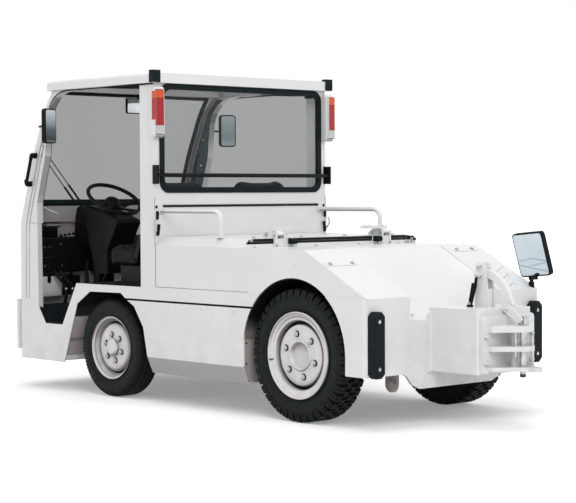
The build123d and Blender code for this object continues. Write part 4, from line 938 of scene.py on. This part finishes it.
def rear_wall_fittings():
    """The black seal across the rear wall, the side catches, the guard bar's bolts and the lamps' screws."""
    wall = Piece("rear_wall_fittings", "chassis", "pad_rubber", "bright_steel", "body_paint", "black_paint")
    wall.add(block((0.014, 1.3, 0.013), 0.003, 2), at(0.4295, 0, 1.2035))
    wall.add(block((0.004, 1.3, 0.0035)), at(0.4275, 0, 1.2155), 2)
    catch = [(0.413, 0.726, 1.12), (0.4, 0.732, 1.1), (0.404, 0.722, 1.062), (0.418, 0.712, 1.048)]
    wall.add_both(tube(catch, 0.0065), kind=1)
    for part, place, kind in [
        (block((0.006, 0.04, 0.15), 0.002), at(0.426, 0.706, 1.105), 2),
        (block((0.014, 0.016, 0.052), 0.003), at(0.417, 0.702, 1.148), 3),
        (block((0.016, 0.018, 0.07), 0.004), at(0.416, 0.696, 1.06, rx=8), 3),
        (bolt(0.013, 0.005), at(0.429, 0.7, 1.199, ry=-90), 3),
        (drum(0.006, 0.003, 0.001, 12), at(0.423, 0.706, 1.172, ry=-90), 1),
    ]:
        wall.add_both(part, place, kind)
    for z in (1.352, 1.396, 1.44):
        wall.add_both(bolt(0.014, 0.005), at(0.394, 0.723, z, rx=-90), 3)
    for z in (1.628, 1.915):
        wall.add_both(drum(0.006, 0.003, 0.001, 12), at(0.41, 0.742, z, rx=-90), 1)
    wall.done("pad_rubber")


def lamp_frames():
    """Black joints between the tail lamps' sections and the white strip down their inner edge."""
    frames = Piece("lamp_frames", "chassis", "body_paint", "black_paint")
    for z in (1.637, 1.6925, 1.8545, 1.9055):
        frames.add_both(block((0.0175, 0.054, 0.0022)), at(0.3705, 0.716, z), 1)
    frames.add_both(block((0.02, 0.003, 0.27), 0.001), at(0.3705, 0.6885, 1.7715))
    frames.done("body_paint")


def lid_fittings():
    """The black strip under the lid's rear edge, painted shade of the open gap there, and the lid's studs and hinge
    bolts; these ride on the lid.
    """
    lid = Piece("lid_fittings", "deck_lid", "pad_rubber", "bright_steel", "body_paint")
    # Painted shade: a black strip fills the gap under the lid's rear edge.
    lid.add(block((0.007, 1.27, 0.015), 0.002), at(-0.3795, 0, 1.0085))
    for y in (0.56, 0.18, -0.6, -0.18):
        lid.add(bolt(0.018, 0.008), at(-0.3, y, 1.018), 1)
    for x in (-0.33, -0.362):
        for y in (0.452, 0.33):
            lid.add_both(bolt(0.015, 0.007), at(x, y, 1.078), 2)
    for y, turn in ((0.462, -90.0), (0.418, 90.0)):
        lid.add_both(bolt(0.02, 0.008), at(-0.3, y, 1.04, rx=turn), 1)
    lid.done("pad_rubber")


def hinge_fittings():
    """Nuts on the hinge pins, the bolts of each leaf and the catch by the lid's right corner."""
    hinge = Piece("hinge_fittings", "chassis", "bright_steel", "body_paint", "black_paint")
    for way in (1, -1):
        hinge.add_both(hex_nut(0.02, 0.008, 0.004), at(-0.392, 0.44 + way * 0.039, 1.04, rx=-90.0 * way))
    for y in (0.345, 0.372, 0.47):
        hinge.add_both(bolt(0.014, 0.006), at(-0.398, y, 0.976, ry=-90), 1)
    for y in (0.629, 0.142, -0.22, -0.56):
        hinge.add(bolt(0.014, 0.006), at(-0.39, y, 0.975, ry=-90), 1)
    hinge.add(block((0.02, 0.05, 0.014), 0.003), at(-0.386, -0.672, 1.004), 2)
    hinge.add(block((0.016, 0.03, 0.03), 0.003), at(-0.394, -0.69, 0.98))
    hinge.add(tube([(-0.398, -0.66, 0.985), (-0.404, -0.64, 0.972), (-0.4, -0.616, 0.976)], 0.005))
    hinge.add(drum(0.01, 0.012, 0.002, 16), at(-0.398, -0.69, 0.99, ry=-90), 2)
    hinge.done("bright_steel")


SLOPE_FOOT = (-1.372, 0.715)  # x and height of the tail slope's lower edge
SLOPE_RISE = (0.966 - 0.715) / (1.372 - 0.891)


def slope_z(x):
    """The tail slope's height."""
    return SLOPE_FOOT[1] + SLOPE_RISE * (x - SLOPE_FOOT[0])


def slope(x, y, lift):
    """A place on the tail's slope, turned to lie on it."""
    return at(x, y, slope_z(x) + lift, ry=-math.degrees(math.atan(SLOPE_RISE)))


def tail_fittings():
    """Lifting studs on their strips, the frame on the right slope, the spring hangers' cheeks and the bolts."""
    tail = Piece("tail_fittings", "chassis", "body_paint", "bright_steel", "inner_panel")
    for x, y0, y1 in ((-1.039, 0.487, 0.657), (-0.945, -0.478, -0.612)):
        tail.add(block((0.04, abs(y1 - y0) + 0.072, 0.003), 0.001), slope(x, (y0 + y1) / 2, 0.0012))
        for y in (y0, y1):
            tail.add(bolt(0.019, 0.009), slope(x, y, 0.002), 1)
    for ends in [
        ((-1.182, -0.556), (-1.388, -0.439)), ((-1.131, -0.678), (-1.325, -0.567)),
        ((-1.182, -0.556), (-1.131, -0.678)), ((-1.261, -0.512), (-1.208, -0.634)),
        ((-1.34, -0.467), (-1.3, -0.581)),
    ]:
        held = [(max(x, SLOPE_FOOT[0] + 0.01), y) for x, y in ends]
        tail.add(*bar(*[(x, y, slope_z(x) + 0.0015) for x, y in held], 0.009, 0.007, 0.002))
    tail.add(drum(0.009, 0.012, 0.002, 16), at(-1.372, 0.36, 0.618, ry=-90))
    # The hangers' cheeks are in inner_panel, painted shade of white paint.
    tail.add_both(drum(0.046, 0.018, 0.002), at(-1.22, 0.369, 0.225, rx=90), 2)
    tail.add_both(block((0.092, 0.018, 0.105), 0.002), at(-1.22, 0.36, 0.277), 2)
    tail.add_both(bolt(0.022, 0.01), at(-1.22, 0.369, 0.232, rx=-90), 2)
    for z in (0.341, 0.594):
        tail.add_both(bolt(0.021, 0.011), at(-1.4085, 0.656, z, ry=-90), 1)
    tail.done("body_paint")


def side_fittings():
    """Screws and joints of the side panels and skirts, the arches' inner panels and the handrails' flanges."""
    sides = Piece("side_fittings", "chassis", "body_paint", "black_paint", "seam_grey", "inner_panel")
    turned = at(rz=90) @ at(rx=90)
    foot = [(0.56, 0.196), (0.668, 0.196), (0.7075, 0.286), (0.7075, 0.47), (0.56, 0.47)]
    for part, place, kind in [
        (drum(0.026, 0.006, 0.002, 28), at(-0.13, 0.663, 1.018), 0),
        (drum(0.024, 0.006, 0.002, 28), at(0.429, 0.663, 1.175, ry=-90), 0),
        (drum(0.006, 0.003, 0.001, 14), at(-1.29, 0.711, 0.735, rx=-90), 0),
        (drum(0.006, 0.003, 0.001, 14), at(0.395, 0.711, 0.93, rx=-90), 0),
        # Grey strips along the panel's edge and step: painted shade.
        (block((0.003, 0.0012, 0.33)), at(0.4265, 0.7112, 0.797), 2),
        (block((0.84, 0.0012, 0.0026)), at(0.005, 0.7114, 0.7145), 2),
        (block((0.003, 0.0012, 0.3)), at(0.4265, 0.7154, 1.11), 2),
        # The arches' inner panels are in inner_panel, painted shade of white paint.
        (plate(foot, 0.006, 0.001), at(-0.376) @ turned, 3),
        (tube([(-0.38, 0.7075, 0.29), (-0.38, 0.7085, 0.38), (-0.38, 0.7075, 0.47)], 0.004, 2), at(), 0),
        (*bar((1.3975, 0.637, 0.2), (1.27, 0.637, 0.492), 0.14, 0.005, 0.001), 3),
        (*bar((1.335, 0.637, 0.331), (1.327, 0.637, 0.349), 0.14, 0.009, 0.001), 2),
    ]:
        sides.add_both(part, place, kind)
    for x in (-0.3, 0.0, 0.3):
        sides.add_both(drum(0.007, 0.0035, 0.001, 14), at(x, 0.715, 0.6005, rx=-90))
    for z in (0.3, 0.42):
        sides.add_both(drum(0.006, 0.003, 0.001, 12), at(-0.379, 0.69, z, ry=-90), 1)
    sides.done("body_paint")


# Hitch fittings -----

def hitch_fittings():
    """The box's weld, mount-plate bolts, tower nuts, the strut's rod and ends and the chained safety pin."""
    hitch = Piece("hitch_fittings", "chassis", "body_paint", "bright_steel", "black_paint")
    hitch.add_both(tube([(-1.3845, 0.22, 0.304), (-1.3845, 0.2215, 0.47), (-1.3845, 0.22, 0.64)], 0.0065))
    hitch.add(tube([(-1.3845, -0.215, 0.3), (-1.3845, 0, 0.2975), (-1.3845, 0.215, 0.3)], 0.005))
    for z in (0.362, 0.506):
        hitch.add_both(bolt(0.026, 0.012), at(-1.752, 0.189, z, ry=-90))
        hitch.add_both(drum(0.007, 0.018, 0.001, 12), at(-1.752, 0.189, z, ry=-90))
    hitch.add(hex_nut(0.032, 0.014, 0.008), at(-1.566, 0.0455, 0.831, rx=-90))
    hitch.add(hex_nut(0.022, 0.01, 0.006), at(-1.573, 0.043, 0.879, rx=-90))
    hitch.add(drum(0.01, 0.105, 0.002, 18), at(-1.52, 0.052, 0.68, ry=-13), 2)
    hitch.add(drum(0.012, 0.016, 0.003, 18), at(-1.518, 0.044, 0.668, rx=-90), 1)
    hitch.add(drum(0.006, 0.175, 0.001, 14), at(-1.85, 0.062, 0.394), 1)
    for z in (0.535, 0.567):
        hitch.add(drum(0.0095, 0.004, 0.001, 14), at(-1.85, 0.062, z))
    link = lathe([(0.0062, -0.0014), (0.009, -0.0014), (0.009, 0.0014), (0.0062, 0.0014)], 14)
    for count in range(CHAIN_LINKS):
        turn = at(-1.872, -0.04, 0.52 - count * CHAIN_PITCH, rz=count % 2 * 90.0)
        hitch.add(link, turn @ at(rx=90), 1, keep=True)
    hitch.done("body_paint")


def link_fittings():
    """The nut of the release link's pivot; it rides on the link."""
    link = Piece("link_fittings", "hitch_link", "body_paint")
    link.add(hex_nut(0.02, 0.007, 0.004), at(-1.762, 0.032, 0.652, rx=-90))
    link.done("body_paint")


def pin_fittings():
    """The dark tip of the draw pin; it rides on the pin."""
    tip = Piece("pin_fittings", "hitch_pin", "axle_iron")
    tip.add(drum(0.0166, 0.019, 0.005, 24), at(-1.85, 0, 0.2835))
    tip.done("bright_steel")


for fit in (
        pillar_trim, windscreen_fittings, headliner, grips, binnacle, dash_fittings, floor_fittings, helm,
        seat_hardware, rear_wall_fittings, lamp_frames, lid_fittings, hinge_fittings, tail_fittings, side_fittings,
        hitch_fittings, link_fittings, pin_fittings):
    fit()


# Studio -----

def camera():
    """A long lens from low behind the left rear corner."""
    lens = bpy.data.cameras.new("camera")
    lens.lens = 107.83
    lens.sensor_width = 36.0
    lens.clip_end = 200.0
    eye = new_object("camera", lens)
    yaw, pitch, roll = -42.5654, -1.9301, -0.2519
    eye.matrix_world = at(-7.81187, 7.188, 1.27793, rx=90.0 + pitch, rz=yaw - 90.0) @ at(rz=roll)
    scene.camera = eye


def soft_box(name, place, aim_z, size, power):
    """A large soft lamp aimed at a height over the middle of the floor."""
    lamp = bpy.data.lights.new(name, "AREA")
    lamp.shape = "RECTANGLE"
    lamp.size, lamp.size_y = size
    lamp.energy = power
    box = new_object(name, lamp)
    way = Vector((0, 0, aim_z)) - Vector(place)
    box.matrix_world = Matrix.Translation(place) @ way.to_track_quat("-Z", "Y").to_matrix().to_4x4()


def seen_directly(material):
    """1 where the camera, a mirror or glass looks at it, and 0 where it only lights the object."""
    path = add_node(material, "ShaderNodeLightPath")
    total = path.outputs["Is Camera Ray"]
    for name in ("Is Glossy Ray", "Is Transmission Ray"):
        total = maths(material, "MAXIMUM", total, path.outputs[name])
    return total


def sky():
    """Even pale light; white where it is seen, mid grey where it is seen through the cab's glass."""
    world = bpy.data.worlds.new("studio")
    world.use_nodes = True
    scene.world = world
    world.node_tree.nodes.clear()
    light = add_node(world, "ShaderNodeBackground", Color=(1, 1, 1, 1), Strength=0.39)
    backdrop = add_node(world, "ShaderNodeBackground", Strength=1.0)
    depth = add_node(world, "ShaderNodeLightPath").outputs["Transparent Depth"]
    through = maths(world, "GREATER_THAN", depth, 0.5)
    join(world, blend_colour(world, through, (1, 1, 1), (0.385, 0.395, 0.392)), backdrop.inputs["Color"])
    mix = add_node(world, "ShaderNodeMixShader")
    for socket, source in zip(mix.inputs, (seen_directly(world), light.outputs[0], backdrop.outputs[0])):
        join(world, source, socket)
    join(world, mix.outputs[0], add_node(world, "ShaderNodeOutputWorld").inputs["Surface"])


def floor():
    """A wide pale floor that keeps the shadow and glows with distance until it meets the backdrop."""
    bm = bmesh.new()
    bmesh.ops.create_grid(bm, x_segments=1, y_segments=1, size=60.0)
    ground = new_object("floor", bm)
    paper = finish("floor_paper", (0.93, 0.93, 0.93), 0.9, specular=0.1)
    shader = set_sockets(shader_of(paper), Emission_Color=(1, 1, 1, 1))
    reach = add_node(paper, "ShaderNodeVectorMath")
    reach.operation = "LENGTH"
    join(paper, place_on(paper), reach.inputs[0])
    glow = spread(paper, reach.outputs["Value"], 1.9, 4.0, 0.26, 0.98)
    join(paper, maths(paper, "MULTIPLY", seen_directly(paper), glow), shader.inputs["Emission Strength"])
    ground.data.materials.append(paper)


def studio():
    scene.view_settings.view_transform = "Standard"
    sky()
    floor()
    for name, place, aim_z, size, power in [
        ("key_light", (-6.5, 4.2, 5.2), 0.6, (4.5, 4.5), 285.0),
        ("fill_light", (4.5, 5.0, 4.0), 0.8, (5.0, 4.0), 78.0),
        ("back_light", (-4.0, -6.0, 5.0), 0.8, (5.0, 4.0), 110.0),
        ("top_light", (0.5, 0.0, 7.5), 0.0, (6.0, 6.0), 260.0),
    ]:
        soft_box(name, place, aim_z, size, power)


camera()
studio()
